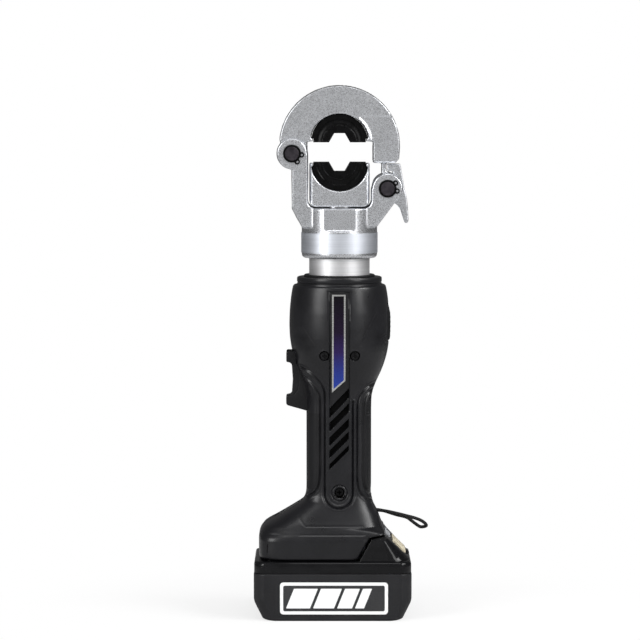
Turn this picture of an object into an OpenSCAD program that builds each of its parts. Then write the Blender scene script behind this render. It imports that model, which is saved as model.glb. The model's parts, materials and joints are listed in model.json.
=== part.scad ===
// Battery hydraulic crimping tool with a flip-open jaw, a swivelling head and a slide-on pack.
// Millimetres, +Z up. The origin lies on the cylinder's axis, on the floor under the pack.

/* [Battery pack] */
// Length of the pack along its slide
battery_l = 113.2; // [108:0.2:124]
// Width of the pack across the tool
battery_w = 75; // [73:0.5:84]
// Height of the lower case up to its seam
battery_case_h = 34; // [33:0.5:38]
// Height of the cover band above the seam
battery_cover_h = 8.5; // [8:0.5:12]
// Wall of the pack's shells
battery_wall = 2.2; // [1.6:0.1:2.6]
// Middle of the pack, measured from the cylinder's axis
battery_mid = -4.9; // [-7:0.1:-3]
// Length of the bevel under each end of the case
end_bevel_l = 7; // [4:0.5:8]
// Height of the bevel under each end of the case
end_bevel_h = 14; // [8:0.5:16]
// Radius of the case's upright corners
battery_corner_r = 6; // [4:0.5:8]
// Diameter of a cell
cell_d = 18.3; // [18:0.1:18.6]
// Length of a cell
cell_l = 65; // [60:0.5:66]
// Distance between the cells' axes in a layer
cell_pitch = 19; // [18.8:0.1:19.6]
// Height of the slide deck above the cover band
deck_h = 11.5; // [10:0.5:12]
// Width of the slide deck's head
deck_w = 60; // [56:0.5:60]
// Width of the slide deck's neck
deck_neck_w = 53; // [48:0.5:54]
// Height of the slide deck's neck
deck_neck_h = 6; // [5:0.5:6.5]
// Height of the wedge above the cover band
wedge_h = 17.9; // [17:0.1:20]
// Width of the wedge
wedge_w = 66; // [62:0.5:67]
// Slope of the wedge's outer face, in degrees
wedge_slope = 44; // [42:1:47]
// Travel of the pack's latch button
latch_button_travel = 3.2; // [2.6:0.1:3.6]
// Travel of the charge gauge's button
gauge_travel = 0.5; // [0.3:0.1:0.8]

/* [Foot and grip] */
// Height of the foot, from the pack to the grip
foot_h = 44.4; // [42:0.2:50]
// Height of the foot's upright skirt
foot_skirt_h = 13; // [12:0.5:14]
// Width of the foot beyond the deck, on each side
foot_cheek = 4; // [3.6:0.1:6]
// Reach of the foot on the trigger side of the axis
foot_front = 58; // [56:0.5:60]
// Reach of the foot on the back side of the axis
foot_back = 35.5; // [34:0.5:38]
// Radius of the foot's shoulder
foot_shoulder_r = 13; // [10:0.5:15]
// Width of the grip, seen from its side
grip_w = 45.6; // [43:0.2:50]
// Depth of the grip
grip_d = 42; // [41:0.2:46]
// Radius of the grip's corners
grip_corner_r = 15; // [12:0.5:17]
// Height of the grip's straight stretch
grip_h = 67; // [64:0.5:80]
// Wall of the moulded housing
housing_wall = 2.6; // [2:0.1:3]
// Thickness of the soft grip pads
pad_t = 1.2; // [0.8:0.1:1.6]

/* [Barrel] */
// Radius of the barrel at its widest
barrel_r = 35.9; // [35.4:0.1:38]
// Height over which the grip flares into the barrel
flare_h = 48; // [44:0.5:54]
// Height of the barrel above the flare
barrel_h = 36.6; // [35:0.2:44]
// How much the barrel narrows towards its top
barrel_draw = 2; // [1.5:0.1:3]
// Radius of the nose ring
nose_r = 30.6; // [29:0.1:31.4]
// Height of the nose ring above the housing
nose_h = 5.8; // [4:0.1:8]
// Radius of the wiper seal
wiper_r = 25.6; // [24.6:0.1:27]
// Height of the wiper seal
wiper_h = 1.6; // [1:0.1:3]
// Width of the name plate's channel
channel_w = 14.8; // [13:0.2:17]
// Depth of the name plate's channel
channel_depth = 1.6; // [1.2:0.1:1.8]
// Width of the name plate
plate_w = 9.4; // [8:0.2:11]
// Thickness of the name plate
plate_t = 1; // [0.6:0.1:1.2]
// Length of the name plate
plate_l = 71.5; // [60:0.5:73]
// Vent slots in the grip
vent_count = 5; // [3:1:5]
// Upright distance between the vent slots
vent_pitch = 9.4; // [8.5:0.1:9.8]
// Upright height of a vent slot
vent_h = 5.4; // [3:0.1:6]

/* [Trigger and release] */
// Width of the trigger
trigger_w = 19; // [16:0.5:22]
// Travel of the trigger
trigger_travel = 4.5; // [3:0.1:4.6]
// Height of the trigger
trigger_h = 42; // [38:0.5:44]
// Height of the release pad
release_h = 27; // [20:0.5:28]
// Width of the release pad
release_w = 17; // [14:0.5:18]
// How far the release pad stands proud of the barrel
release_proud = 1.4; // [0.8:0.1:2]
// Travel of the release pad
release_travel = 1.8; // [1:0.1:2]

/* [Cylinder and pump] */
// Outer radius of the cylinder tube
tube_r = 21.8; // [21:0.1:23]
// Bore radius of the cylinder tube
bore_r = 17; // [16:0.1:18]
// Height of tube that shows between the wiper and the collar
tube_show = 12; // [8:0.5:20]
// Radius of the piston rod
rod_r = 11; // [9:0.1:11.4]
// Height of the piston
piston_h = 16; // [13:0.5:18]
// Stroke of the ram
stroke = 14; // [8:0.5:16]
// Depth of the tube's socket in the pump block
socket_depth = 28; // [24:0.5:30]
// Height of the pump block below the socket
pump_base_h = 17; // [16:0.5:20]
// Radius of the pump block's base
pump_r = 28.5; // [27.5:0.1:29]
// Wall of the socket round the tube
socket_wall = 5; // [4:0.1:5.4]
// Radius of the eccentric's chamber
chamber_r = 17; // [16:0.2:18]
// Throw of the eccentric
cam_throw = 1.25; // [0.8:0.05:1.5]
// Radius of the pump plunger
plunger_r = 4; // [3:0.1:4.4]
// Height of the bearing plate
plate_h = 12; // [11:0.5:14]

/* [Motor and gears] */
// Radius of the motor's can
motor_r = 17; // [15:0.1:17.4]
// Length of the motor's can
motor_l = 60; // [50:0.5:61]
// Height of the motor's end cap
motor_cap_h = 5; // [4:0.5:5.5]
// Height of the ring gear's body
ring_gear_h = 20; // [19:0.5:24]
// Outer radius of the ring gear's body
ring_gear_r = 17.6; // [17.2:0.1:18.2]
// Gear module
gear_module = 0.62; // [0.58:0.01:0.62]
// Face width of the gears
gear_w = 11; // [8:0.5:12]

/* [Head and jaw] */
// Radius of the head's collar
collar_r = 27.2; // [26:0.1:29]
// Depth of the tube's thread inside the collar
collar_depth = 20; // [16:0.5:22]
// Height of the collar and neck, up to the window's floor
neck_h = 36.4; // [34:0.2:42]
// Depth of the fork, from face to face
fork_d = 36.8; // [35:0.2:42]
// Half width of the fork's window
window_half = 22.4; // [22.2:0.1:24]
// Radius of the ears
ear_r = 11.3; // [10:0.1:12]
// Radius of the pivot pins
pin_r = 5; // [4:0.1:5.6]
// Thickness of the flip jaw
jaw_t = 22; // [18:0.5:23]
// Radius of the flip jaw's outer arc
jaw_r = 43.6; // [42:0.1:46]
// Thickness of the jaw latch
latch_t = 14; // [10:0.5:16]
// Radius of the dies
die_r = 20.4; // [19:0.1:20.6]
// Thickness of the dies
die_t = 20; // [16:0.5:21]
// Width across the corners of the crimp's hexagon
hex_corners = 15.1; // [8:0.1:20]
// How far the die faces stand proud of their seats
die_proud = 0.6; // [0.3:0.1:0.8]
// Height of the ram's die holder
ram_h = 31.2; // [30:0.2:34]
// Depth of the ram's die holder, between its flats
ram_d = 29; // [26:0.5:32]

/* [Hidden] */

// Smoothness of round solids, and of the children of hulls
$fn = 64;
hull_fn = 32;
// A cut's run past the faces that it opens
past = 1;
// Radial clearance of running fits, and the gap round parts that slide or nest
run_gap = 0.05;
slide_gap = 0.3;

// Colours
c_cast = [0.72, 0.72, 0.71];
c_steel = [0.6, 0.6, 0.62];
c_black = [0.1, 0.1, 0.11];
c_soft = [0.14, 0.14, 0.15];
c_oxide = [0.06, 0.06, 0.06];
c_brass = [0.75, 0.6, 0.3];
c_board = [0.1, 0.35, 0.2];
c_cream = [0.9, 0.86, 0.74];

// Heights, from the floor up
z_deck = battery_case_h + battery_cover_h;
foot_gap = 0.7;
foot_w = deck_w + 2 * foot_cheek;
z_foot = z_deck + foot_gap;
z_grip = z_foot + foot_h;
z_flare = z_grip + grip_h;
z_barrel = z_flare + flare_h;
z_nose = z_barrel + barrel_h;
nose_sink = 1.6;
z_seat = z_nose - nose_sink;
z_wiper = z_nose + nose_h;
z_tube = z_wiper + wiper_h;
z_collar = z_tube + tube_show;
z_web = z_collar + collar_depth;
z_window = z_collar + neck_h;

// The drive's stack, hung below the nose ring
z_cyl = z_seat - socket_depth;
z_pump = z_cyl - pump_base_h;
z_plate = z_pump - plate_h;
z_ring = z_plate - ring_gear_h;
z_motor = z_ring - motor_l;
z_cap = z_motor - motor_cap_h;

// The ram, its dies and the pivots of the head
ram_rest_gap = 0.6;
z_ram = z_window + ram_rest_gap;
z_ram_top = z_ram + ram_h;
z_low = z_ram_top + die_proud;
die_clear = 0.2;
z_up = z_low + stroke + die_clear;
z_lip = z_up + die_proud;
ram_half = window_half - 0.7;
hinge_x = -window_half - ear_r - 0.3;
hinge_z = z_up - 7.9;
latch_x = window_half + ear_r + 0.6;
ear_top_gap = 6.9;
leg_z = z_low - die_proud;
latch_z = leg_z - ear_top_gap - ear_r + 0.1;
jaw_z = z_up - 2.6;
leg_x = window_half + 1.2;
hub_r = ear_r - 0.5;
latch_hub_r = ear_r - 3.1;
piston_rest = 2;
piston_top = z_cyl + piston_rest + piston_h;

// Where the pack's ends lie
battery_x0 = battery_mid - battery_l / 2;
battery_x1 = battery_mid + battery_l / 2;
deck_x0 = battery_x0 + 11;
deck_top = z_deck + deck_h;
neck_top = z_deck + deck_neck_h;
wedge_top = z_deck + wedge_h;
wedge_x1 = battery_x1 - 0.6;
wedge_crest = wedge_x1 - wedge_h / tan(wedge_slope);
wedge_x0 = wedge_crest - 18.4;
wedge_bend = wedge_crest - 9.8;
wedge_bend_z = wedge_top - 2.4;
cover_inner = z_deck - battery_wall;

// A plate outline in X and Z, extruded about the Y = 0 plane
module across(depth) {
    rotate([90, 0, 0]) linear_extrude(depth, center = true) children();
}

// An outline in Y and Z, extruded along X about the middle
module along(width) {
    rotate([90, 0, 90]) linear_extrude(width, center = true) children();
}

// A square with round corners, about the origin
module round_square(w, d, r) {
    square([w - 2 * r, d], center = true);
    square([w, d - 2 * r], center = true);
    for (x = [-1, 1], y = [-1, 1])
        translate([x * (w / 2 - r), y * (d / 2 - r)]) circle(r);
}

// A box between two corners
module box(a, b) {
    translate(a) cube(b - a);
}

// A pin along X, Y or Z that starts at a point
module pin_x(p, r, l) {
    translate(p) rotate([0, 90, 0]) cylinder(r = r, h = l);
}
module pin_y(p, r, l) {
    translate(p) rotate([-90, 0, 0]) cylinder(r = r, h = l);
}

// A ring about Z
module ring(z, r_in, r_out, h) {
    translate([0, 0, z]) difference() {
        cylinder(r = r_out, h = h);
        translate([0, 0, -past]) cylinder(r = r_in, h = h + 2 * past);
    }
}

// A tube of triangles swept along a path, with rings square to it
function unit(v) = v / norm(v);
function heading(path, i) = unit(path[min(i + 1, len(path) - 1)] - path[max(i - 1, 0)]);
function tube_points(path, r, sides, ref) = [
    for (i = [0 : len(path) - 1])
        let (t = heading(path, i), a = unit(ref - (ref * t) * t), b = cross(t, a))
            for (k = [0 : sides - 1]) path[i] + r * (cos(360 * k / sides) * a + sin(360 * k / sides) * b)
];
function tube_sides(rings, sides) = [
    for (i = [0 : rings - 2], k = [0 : sides - 1], half = [0, 1])
        let (p = i * sides + k, q = i * sides + (k + 1) % sides)
            half == 0 ? [p, p + sides, q] : [q, p + sides, q + sides]
];
function tube_ends(rings, sides) = [
    for (k = [1 : sides - 2], end = [0, 1])
        let (last = (rings - 1) * sides)
            end == 0 ? [0, k, k + 1] : [last, last + k + 1, last + k]
];
module swept_tube(path, r, sides, ref) {
    rings = len(path);
    polyhedron(tube_points(path, r, sides, ref), concat(tube_sides(rings, sides), tube_ends(rings, sides)));
}

// A coil spring about Z that fills a height
coil_steps = 8;
module coil(mean_r, wire_r, height, turns) {
    rise = height - 2 * wire_r;
    path = [
        for (i = [0 : turns * coil_steps])
            [mean_r * cos(360 * i / coil_steps), mean_r * sin(360 * i / coil_steps),
             wire_r + rise * i / (turns * coil_steps)]
    ];
    swept_tube(path, wire_r, 6, [0, 0, 1]);
}

// Gear outline with straight-sided involute flanks. Teeth are thinned for backlash.
pressure = 20;
function involute(a) = tan(a) * 180 / PI - a;
function tooth_half(n, r, thin) =
    let (pitch_r = gear_module * n / 2, base_r = pitch_r * cos(pressure), at = max(r, base_r))
        90 / n - thin / pitch_r * 90 / PI + involute(pressure) - involute(acos(base_r / at));
function gear_outline(n, tip, root, thin) =
    let (base_r = gear_module * n / 2 * cos(pressure), low = max(base_r, root + 0.02),
         rows = [[root, low], [low, low], [(low + tip) / 2, (low + tip) / 2], [tip, tip]])
        [for (k = [0 : n - 1], side = [-1, 1], j = [0 : 3])
            let (row = rows[side < 0 ? j : 3 - j], a = 360 * k / n + side * tooth_half(n, row[1], thin))
                row[0] * [cos(a), sin(a)]];
sun_n = 12;
planet_n = 18;
ring_n = 48;
planet_count = 3;
addendum = 0.8 * gear_module;
dedendum = 1.25 * gear_module;
backlash = 0.16;
sun_pitch = gear_module * sun_n / 2;
planet_pitch = gear_module * planet_n / 2;
ring_pitch = gear_module * ring_n / 2;
planet_circle = sun_pitch + planet_pitch;
z_gear = z_ring + 2;
shaft_r = 1.6;
planet_pin_r = 2;
carrier_r = 12;
carrier_h = 4;
z_carrier = z_gear + gear_w + 0.6;
cam_shaft_r = 5;
bearing_r = 11;
bearing_h = 7;
cam_lobe_r = 6.5;
cam_bearing_r = 9;
cam_h = 8;
z_cam = z_pump + 2;
z_plunger = z_cam + cam_h / 2;
cam_tip_r = 4;

// Crimp head: collar, neck and fork
neck_flat = 24.7;
window_fillet = 5;
slot_gap = 0.25;
module head_outline() {
    polygon([
        [-collar_r + 0.2, z_window - 14.4], [-window_half - 12.1, z_window - 0.9],
        [-window_half - 12.1, hinge_z], [-window_half, hinge_z], [-window_half, z_window],
        [window_half, z_window], [window_half, latch_z], [latch_x, latch_z],
        [latch_x + 6.6, latch_z - 8.6], [collar_r - 0.2, z_window - 13.6]
    ]);
    translate([hinge_x, hinge_z]) circle(ear_r);
    translate([latch_x, latch_z]) circle(ear_r);
    for (s = [-1, 1])
        translate([s * (window_half - window_fillet / 2), z_window + window_fillet / 2])
            difference() {
                square(window_fillet, center = true);
                translate([-s * window_fillet / 2, window_fillet / 2]) circle(window_fillet);
            }
}
module crimp_head() {
    color(c_cast) difference() {
        union() {
            across(fork_d) head_outline();
            rotate_extrude() polygon([
                [0, z_collar], [collar_r - 1.6, z_collar], [collar_r, z_collar + 1.6],
                [collar_r, z_window], [0, z_window]
            ]);
        }
        // Milled flats on the neck's front and back
        for (s = [-1, 1])
            translate([0, s * (neck_flat + 10), z_collar + 20.4 + 15])
                cube([30, 20, 30], center = true);
        // Thread for the tube, and the rod's bore
        translate([0, 0, z_collar - past]) cylinder(r = tube_r + run_gap, h = collar_depth + past);
        cylinder(r = rod_r + run_gap, h = z_window + past);
        // Clevis slots for the jaw's hub and for the latch
        jaw_slot = jaw_t / 2 + slot_gap;
        box([hinge_x - 20, -jaw_slot, hinge_z - hub_r - 1.8], [-window_half + 3, jaw_slot, hinge_z + 20]);
        latch_slot = latch_t / 2 + slot_gap;
        box([window_half + 3, -latch_slot, latch_z - 13], [latch_x + 20, latch_slot, latch_z + 20]);
        box([latch_x - 5, -latch_slot, latch_z - 20], [latch_x + 20, latch_slot, latch_z - 12]);
        // Bores of the pivot pins
        pin_y([hinge_x, -fork_d, hinge_z], pin_r + run_gap, 2 * fork_d);
        pin_y([latch_x, -fork_d, latch_z], pin_r + run_gap, 2 * fork_d);
    }
}

// Plain band round the collar
band_t = 0.3;
band_h = 14.4;
module collar_band() {
    color([0.85, 0.85, 0.85]) ring(z_collar + 3.8, collar_r + run_gap, collar_r + run_gap + band_t, band_h);
}

// Cylinder tube with the groove of its swivel clip
clip_z = z_cyl + 17;
clip_h = 1.6;
clip_w = 1.8;
module cylinder_tube() {
    color(c_steel) difference() {
        ring(z_cyl + 0.1, bore_r, tube_r, z_web - z_cyl - 0.1);
        ring(clip_z - 0.2, tube_r - clip_w / 2 - 0.1, tube_r + past, clip_h + 0.4);
    }
}
module swivel_clip() {
    color(c_steel) ring(clip_z, tube_r - clip_w / 2, tube_r + clip_w / 2, clip_h);
}

// The two pivot pins, grooved for their circlips
circlip_t = 1;
pin_groove_r = pin_r - 0.4;
pin_half = fork_d / 2 + 2.2;
circlip_y = fork_d / 2 + 0.1;
module pivot_pin(p) {
    translate([p[0], -pin_half, p[1]]) rotate([-90, 0, 0]) rotate_extrude() {
        groove_a = pin_half - circlip_y - circlip_t - 0.05;
        groove_b = pin_half - circlip_y + 0.05;
        polygon([
            [0, 0], [pin_r - 0.5, 0], [pin_r, 0.5], [pin_r, groove_a], [pin_groove_r, groove_a],
            [pin_groove_r, groove_b], [pin_r, groove_b], [pin_r, 2 * pin_half - groove_b],
            [pin_groove_r, 2 * pin_half - groove_b], [pin_groove_r, 2 * pin_half - groove_a],
            [pin_r, 2 * pin_half - groove_a], [pin_r, 2 * pin_half - 0.5], [pin_r - 0.5, 2 * pin_half],
            [0, 2 * pin_half]
        ]);
    }
}
pivots = [[hinge_x, hinge_z], [latch_x, latch_z]];
module pivot_pins() {
    color(c_steel) for (p = pivots) pivot_pin(p);
}

// Circlips with two pierced lugs, one on each pin's end
circlip_r = pin_r + 1.2;
lug_turn = [-32, 11];
lug_at = [pin_r + 1.2, 2.9];
lug_r = 2;
lug_hole_r = 0.85;
module circlip_outline() {
    difference() {
        union() {
            circle(circlip_r);
            for (s = [-1, 1]) translate([lug_at[0], s * lug_at[1]]) circle(lug_r);
        }
        circle(pin_groove_r + 0.05);
        translate([0, -0.35]) square([pin_r + 5, 0.7]);
        for (s = [-1, 1]) translate([lug_at[0] + 0.2, s * lug_at[1]]) circle(lug_hole_r);
    }
}
module circlips() {
    color(c_oxide) for (i = [0, 1], s = [-1, 1])
        translate([pivots[i][0], s * (circlip_y + circlip_t / 2), pivots[i][1]])
            across(circlip_t) rotate(lug_turn[i]) circlip_outline();
}

// Return spring of the ram, between the piston and the head's web
spring_end_gap = 0.15;
module return_spring() {
    color(c_steel) translate([0, 0, piston_top + spring_end_gap])
        coil((rod_r + bore_r) / 2, 1.4, z_web - piston_top - 2 * spring_end_gap, 7);
}

// Die seat with its two retaining lips, drawn for a die above the face
lip_in = 1.5;
lip_up = 2.5;
seat_gap = 0.05;
module seat_outline() {
    difference() {
        circle(die_r + seat_gap);
        for (s = [-1, 1])
            translate([s * (die_r + past), die_proud + lip_up / 2])
                square([2 * (lip_in + past), lip_up], center = true);
    }
}
module die_outline() {
    difference() {
        circle(die_r);
        translate([-2 * die_r, -2 * die_r]) square([4 * die_r, 2 * die_r]);
        for (s = [-1, 1])
            translate([s * (die_r + past), 0])
                square([2 * (lip_in + past + seat_gap), 2 * (die_proud + lip_up + seat_gap)], center = true);
        // A regular hexagon has its corners at sixths of a turn
        circle(hex_corners / 2, $fn = 6);
    }
}
module upper_die() {
    color(c_oxide) translate([0, 0, z_up]) across(die_t) die_outline();
}
module lower_die() {
    color(c_oxide) translate([0, 0, z_low]) across(die_t) mirror([0, 1]) die_outline();
}

// Flip jaw: hub on the hinge pin, arc over the dies, leg with the latch's tongue
tongue_x0 = latch_x - 4.4;
tongue_neck = 3.8;
tongue_foot = 7;
tongue_foot_h = 3.2;
tongue_z = latch_z + latch_hub_r + 0.5;
leg_bevel = 3;
leg_out = jaw_r - 0.4;
hub_step = 0.2;
relief_depth = 1.2;
relief_rise = 21.2;
relief_rim = 2.5;
module jaw_arc() {
    difference() {
        union() {
            translate([0, jaw_z]) circle(jaw_r);
            translate([leg_x, leg_z]) square([leg_out - leg_x, jaw_z - leg_z]);
        }
        translate([-2 * jaw_r, jaw_z - 2 * jaw_r]) square([2 * jaw_r + leg_x, z_lip - jaw_z + 2 * jaw_r]);
        translate([0, jaw_z - 2 * jaw_r]) square([2 * jaw_r, 2 * jaw_r - jaw_z + leg_z]);
        polygon([
            [leg_out - leg_bevel - past, leg_z - past], [leg_out + past, leg_z - past],
            [leg_out + past, leg_z + leg_bevel + past]
        ]);
    }
}
module jaw_web() {
    polygon([
        [hinge_x - hub_r + 2, hinge_z], [-window_half - 0.5, hinge_z], [-window_half - 0.5, z_lip + past],
        [-jaw_r + 1, z_lip + past]
    ]);
}
module jaw_relief() {
    difference() {
        translate([leg_x / 2, leg_z - past]) square([jaw_r, jaw_z - leg_z + relief_rise + past]);
        translate([0, z_up]) circle(die_r + relief_rim);
    }
}
module flip_jaw() {
    color(c_cast) difference() {
        union() {
            across(jaw_t) jaw_arc();
            across(jaw_t - 2 * hub_step) jaw_web();
            across(jaw_t - 4 * hub_step) translate([hinge_x, hinge_z]) circle(hub_r);
            across(latch_t - 2 * slot_gap) {
                translate([tongue_x0, tongue_z]) square([tongue_neck, leg_z - tongue_z + past]);
                translate([tongue_x0, tongue_z]) square([tongue_foot, tongue_foot_h]);
            }
        }
        translate([0, 0, z_up]) across(2 * jaw_t) seat_outline();
        for (s = [-1, 1])
            translate([0, s * jaw_t / 2, 0]) across(2 * relief_depth) jaw_relief();
        pin_y([hinge_x, -jaw_t, hinge_z], pin_r + run_gap, 2 * jaw_t);
    }
}

// Latch with its nose over the jaw's tongue and a thumb tail
nose_gap = 0.5;
module latch_arm() {
    nose_z = tongue_z + tongue_foot_h + nose_gap;
    nose_x = tongue_x0 + tongue_neck + slide_gap;
    upright_x = tongue_x0 + tongue_foot + 1.2;
    circle_top = latch_z + latch_hub_r;
    polygon([
        [nose_x, nose_z], [nose_x, leg_z - nose_gap], [latch_x + 9.4, leg_z - nose_gap],
        [latch_x + 10.2, leg_z - 4.2], [latch_x + 11.1, circle_top], [latch_x + 12.4, latch_z],
        [latch_x + 14, latch_z - 6], [latch_x + 14.9, latch_z - 12.5], [latch_x + 15.5, latch_z - 23.4],
        [latch_x + 14.4, latch_z - 25.2], [latch_x + 12.6, latch_z - 25], [latch_x + 11, latch_z - 20.4],
        [latch_x + 9.4, latch_z - 15.2], [latch_x + 6.9, latch_z - 11.9],
        [latch_x - 3, latch_z - latch_hub_r + 1.8],
        [latch_x - 3, latch_z + latch_hub_r - 1.8], [upright_x, circle_top - 0.6], [upright_x, nose_z]
    ]);
}
module jaw_latch() {
    color(c_cast) difference() {
        union() {
            across(latch_t) latch_arm();
            across(latch_t - 2 * hub_step) translate([latch_x, latch_z]) circle(latch_hub_r);
        }
        pin_y([latch_x, -latch_t, latch_z], pin_r + run_gap, 2 * latch_t);
        // Pocket for the torsion spring at the back of the hub
        pin_y([latch_x, latch_t / 2 - 2.4, latch_z], pin_r + 2.4, 10);
    }
}
module latch_spring() {
    color(c_steel) translate([latch_x, latch_t / 2 - 2.2, latch_z]) rotate([-90, 0, 0])
        coil(pin_r + 1.2, 0.6, 2.2 - slot_gap, 1);
}

// Ram head with the lower die's seat, on the piston's spigot
spigot_r = 6;
spigot_l = 8;
ram_foot_r = 4.4;
ram_corner_r = 3;
corner_steps = 6;
module ram_front() {
    polygon(concat(
        [for (i = [0 : corner_steps])
            let (a = 180 + 90 * i / corner_steps)
                [-ram_half + ram_foot_r * (1 + cos(a)), z_ram + ram_foot_r * (1 + sin(a))]],
        [for (i = [0 : corner_steps])
            let (a = 270 + 90 * i / corner_steps)
                [ram_half - ram_foot_r * (1 - cos(a)), z_ram + ram_foot_r * (1 + sin(a))]],
        [[ram_half, z_ram_top], [-ram_half, z_ram_top]]
    ));
}
module ram_plan() {
    polygon([
        for (q = [0 : 3], i = [0 : corner_steps])
            let (a = 90 * q + 90 * i / corner_steps, x = q == 0 || q == 3 ? 1 : -1, y = q < 2 ? 1 : -1)
                [x * (ram_half - ram_corner_r) + ram_corner_r * cos(a),
                 y * (ram_d / 2 - ram_corner_r) + ram_corner_r * sin(a)]
    ]);
}
module ram_head() {
    color(c_cast) difference() {
        intersection() {
            across(2 * ram_d) ram_front();
            translate([0, 0, z_ram - past]) linear_extrude(ram_h + 2 * past) ram_plan();
        }
        translate([0, 0, z_low]) across(3 * ram_d) mirror([0, 1]) seat_outline();
        translate([0, 0, z_ram - past]) cylinder(r = spigot_r + run_gap, h = spigot_l + 0.2 + past);
    }
}
seal_groove_r = bore_r - 2.6;
seal_h = 4;
seal_z = z_cyl + piston_rest + 6;
module piston() {
    color(c_steel) difference() {
        union() {
            translate([0, 0, z_cyl + piston_rest]) cylinder(r = bore_r - run_gap, h = piston_h);
            translate([0, 0, piston_top - past]) cylinder(r = rod_r, h = z_ram - piston_top + past);
            translate([0, 0, z_ram - past]) cylinder(r = spigot_r, h = spigot_l + past);
        }
        ring(seal_z - 0.1, seal_groove_r, bore_r + past, seal_h + 0.2);
    }
}
module piston_seal() {
    color(c_black) ring(seal_z, seal_groove_r + 0.05, bore_r - 0.01, seal_h);
}

// Outer radius of the barrel at a height: a smooth flare that starts inside the grip, a gentle draw above
flare_start = grip_w / 2 - 1.6;
function flare_r(z) =
    let (t = min(1, max(0, (z - z_flare) / flare_h)))
        flare_start + (barrel_r - flare_start) * (1 - cos(180 * t)) / 2;
function draw_r(z) = let (t = max(0, (z - z_barrel) / barrel_h)) barrel_r - barrel_draw * t * t;
function barrel_at(z) = z < z_barrel ? flare_r(z) : draw_r(z);
flare_steps = 10;
draw_steps = 5;
rim_bevel = 1.6;
function barrel_profile(inset) = concat(
    [for (i = [0 : flare_steps]) let (z = z_flare + flare_h * i / flare_steps) [barrel_at(z) - inset, z]],
    [for (i = [1 : draw_steps])
        let (z = z_barrel + (barrel_h - rim_bevel) * i / draw_steps) [barrel_at(z) - inset, z]]
);
module barrel_solid(inset, top) {
    profile = barrel_profile(inset);
    rotate_extrude() polygon(concat([[0, z_flare]], profile,
        [[barrel_at(z_nose) - inset - rim_bevel * 0.6, top], [0, top]]));
}
grip_foot_sink = 4;
grip_flare_rise = 12;
foot_top_inset = 0.7;
foot_corner_r = 10;
foot_shoulder = [foot_shoulder_r - foot_front, z_foot + foot_skirt_h + 1.2];
module grip_solid(inset) {
    translate([0, 0, z_grip - grip_foot_sink])
        linear_extrude(grip_h + grip_flare_rise + grip_foot_sink)
            round_square(grip_w - 2 * inset, grip_d - 2 * inset, grip_corner_r - inset);
}
module foot_solid(inset, low) {
    skirt_l = foot_front + foot_back - 2 * inset;
    hull() {
        translate([(foot_back - foot_front) / 2, 0, low])
            linear_extrude(z_foot + foot_skirt_h - low, $fn = hull_fn)
                round_square(skirt_l, foot_w - 2 * inset, foot_corner_r - inset, $fn = hull_fn);
        translate([foot_shoulder[0], 0, foot_shoulder[1]])
            rotate([90, 0, 0])
                cylinder(r = foot_shoulder_r - inset, h = foot_w - 2 * foot_corner_r, center = true,
                    $fn = hull_fn);
        translate([0, 0, z_grip - 0.5 - inset])
            linear_extrude(0.5)
                round_square(grip_w - 2 * (inset + foot_top_inset), grip_d - 2 * (inset + foot_top_inset),
                    grip_corner_r - inset, $fn = hull_fn);
    }
}

// Bosses, screws and slots of the housing
screw_x = channel_w / 2 + 3.5;
screw_z = z_plate + 9.4;
screw_r = 1.7;
screw_head_r = 2.8;
screw_head_h = 1.6;
screw_recess_r = 3.2;
screw_sink = 0.2;
screw_seat_y = sqrt(pow(barrel_at(screw_z), 2) - pow(screw_x, 2)) - screw_head_h - screw_sink;
plate_r = pump_r - 2;
low_screw_z = z_grip + 2.6;
low_boss_r = 5.2;
low_seat_y = 15;
rear_screws = [[-50.6, z_foot + 18], [10, z_foot + 20]];
rear_boss_r = 3.8;
rear_seat_y = 24;
vent_z0 = z_grip + 19.3;
vent_w = 14;
channel_top = z_nose - 3.2;
channel_bottom = z_flare - 26;
plate_top = channel_top - 2;
plate_slant = 9;
strap_z = z_grip - 12.6;
strap_hole_r = 2.9;
trigger_slot_gap = 0.35;
trigger_top = z_barrel - 11.2;
trigger_low = trigger_top - trigger_h - 1.4;
release_z = z_barrel + 9.5;
rib_t = 3;
ribs = [z_motor + 4, z_motor + motor_l / 2, z_ring + 6];
pump_rib_z = z_pump + 0.4;
rail_h = 5;
shelf_t = 4;

// The space under the foot that the pack's deck and wedge slide out of
foot_cut_gap = 0.5;
module pack_way() {
    half = deck_w / 2 + slide_gap;
    neck_half = deck_neck_w / 2 + slide_gap;
    box([deck_x0 - 1.5, -half, z_foot + rail_h], [foot_back + 10, half, deck_top + slide_gap]);
    box([deck_x0 - 1.5, -neck_half, z_foot - 10], [foot_back + 10, neck_half, z_foot + rail_h + past]);
    across(2 * foot_w) polygon([
        [wedge_x0 - foot_cut_gap, z_foot - past], [wedge_bend - foot_cut_gap, wedge_bend_z + foot_cut_gap],
        [wedge_crest, wedge_top + foot_cut_gap + 0.3], [foot_back + 20, wedge_top + foot_cut_gap + 0.3],
        [foot_back + 20, z_foot - past]
    ]);
}
module foot_hollow() {
    difference() {
        foot_solid(housing_wall, z_foot - past);
        // Rails that hold the deck, and the shelf over the wedge
        box([-100, -100, z_foot - 10], [100, 100, deck_top + slide_gap]);
        box([wedge_bend - 8, -100, z_foot - 10], [100, 100, wedge_top + foot_cut_gap + shelf_t]);
    }
}
module channel_cut(depth, width, top, bottom) {
    steps = 16;
    along(width) polygon(concat(
        [for (i = [0 : steps])
            let (z = bottom + (top - bottom) * i / steps)
                [-max(barrel_at(z), grip_d / 2) + depth, z]],
        [[-barrel_r - 20, top], [-barrel_r - 20, bottom]]
    ));
}
module vent_cut() {
    for (i = [0 : vent_count - 1])
        translate([0, 0, vent_z0 + i * vent_pitch]) across(2 * grip_d) polygon([
            [-vent_w / 2, 0], [vent_w / 2, vent_w], [vent_w / 2, vent_w + vent_h], [-vent_w / 2, vent_h]
        ]);
}
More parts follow.
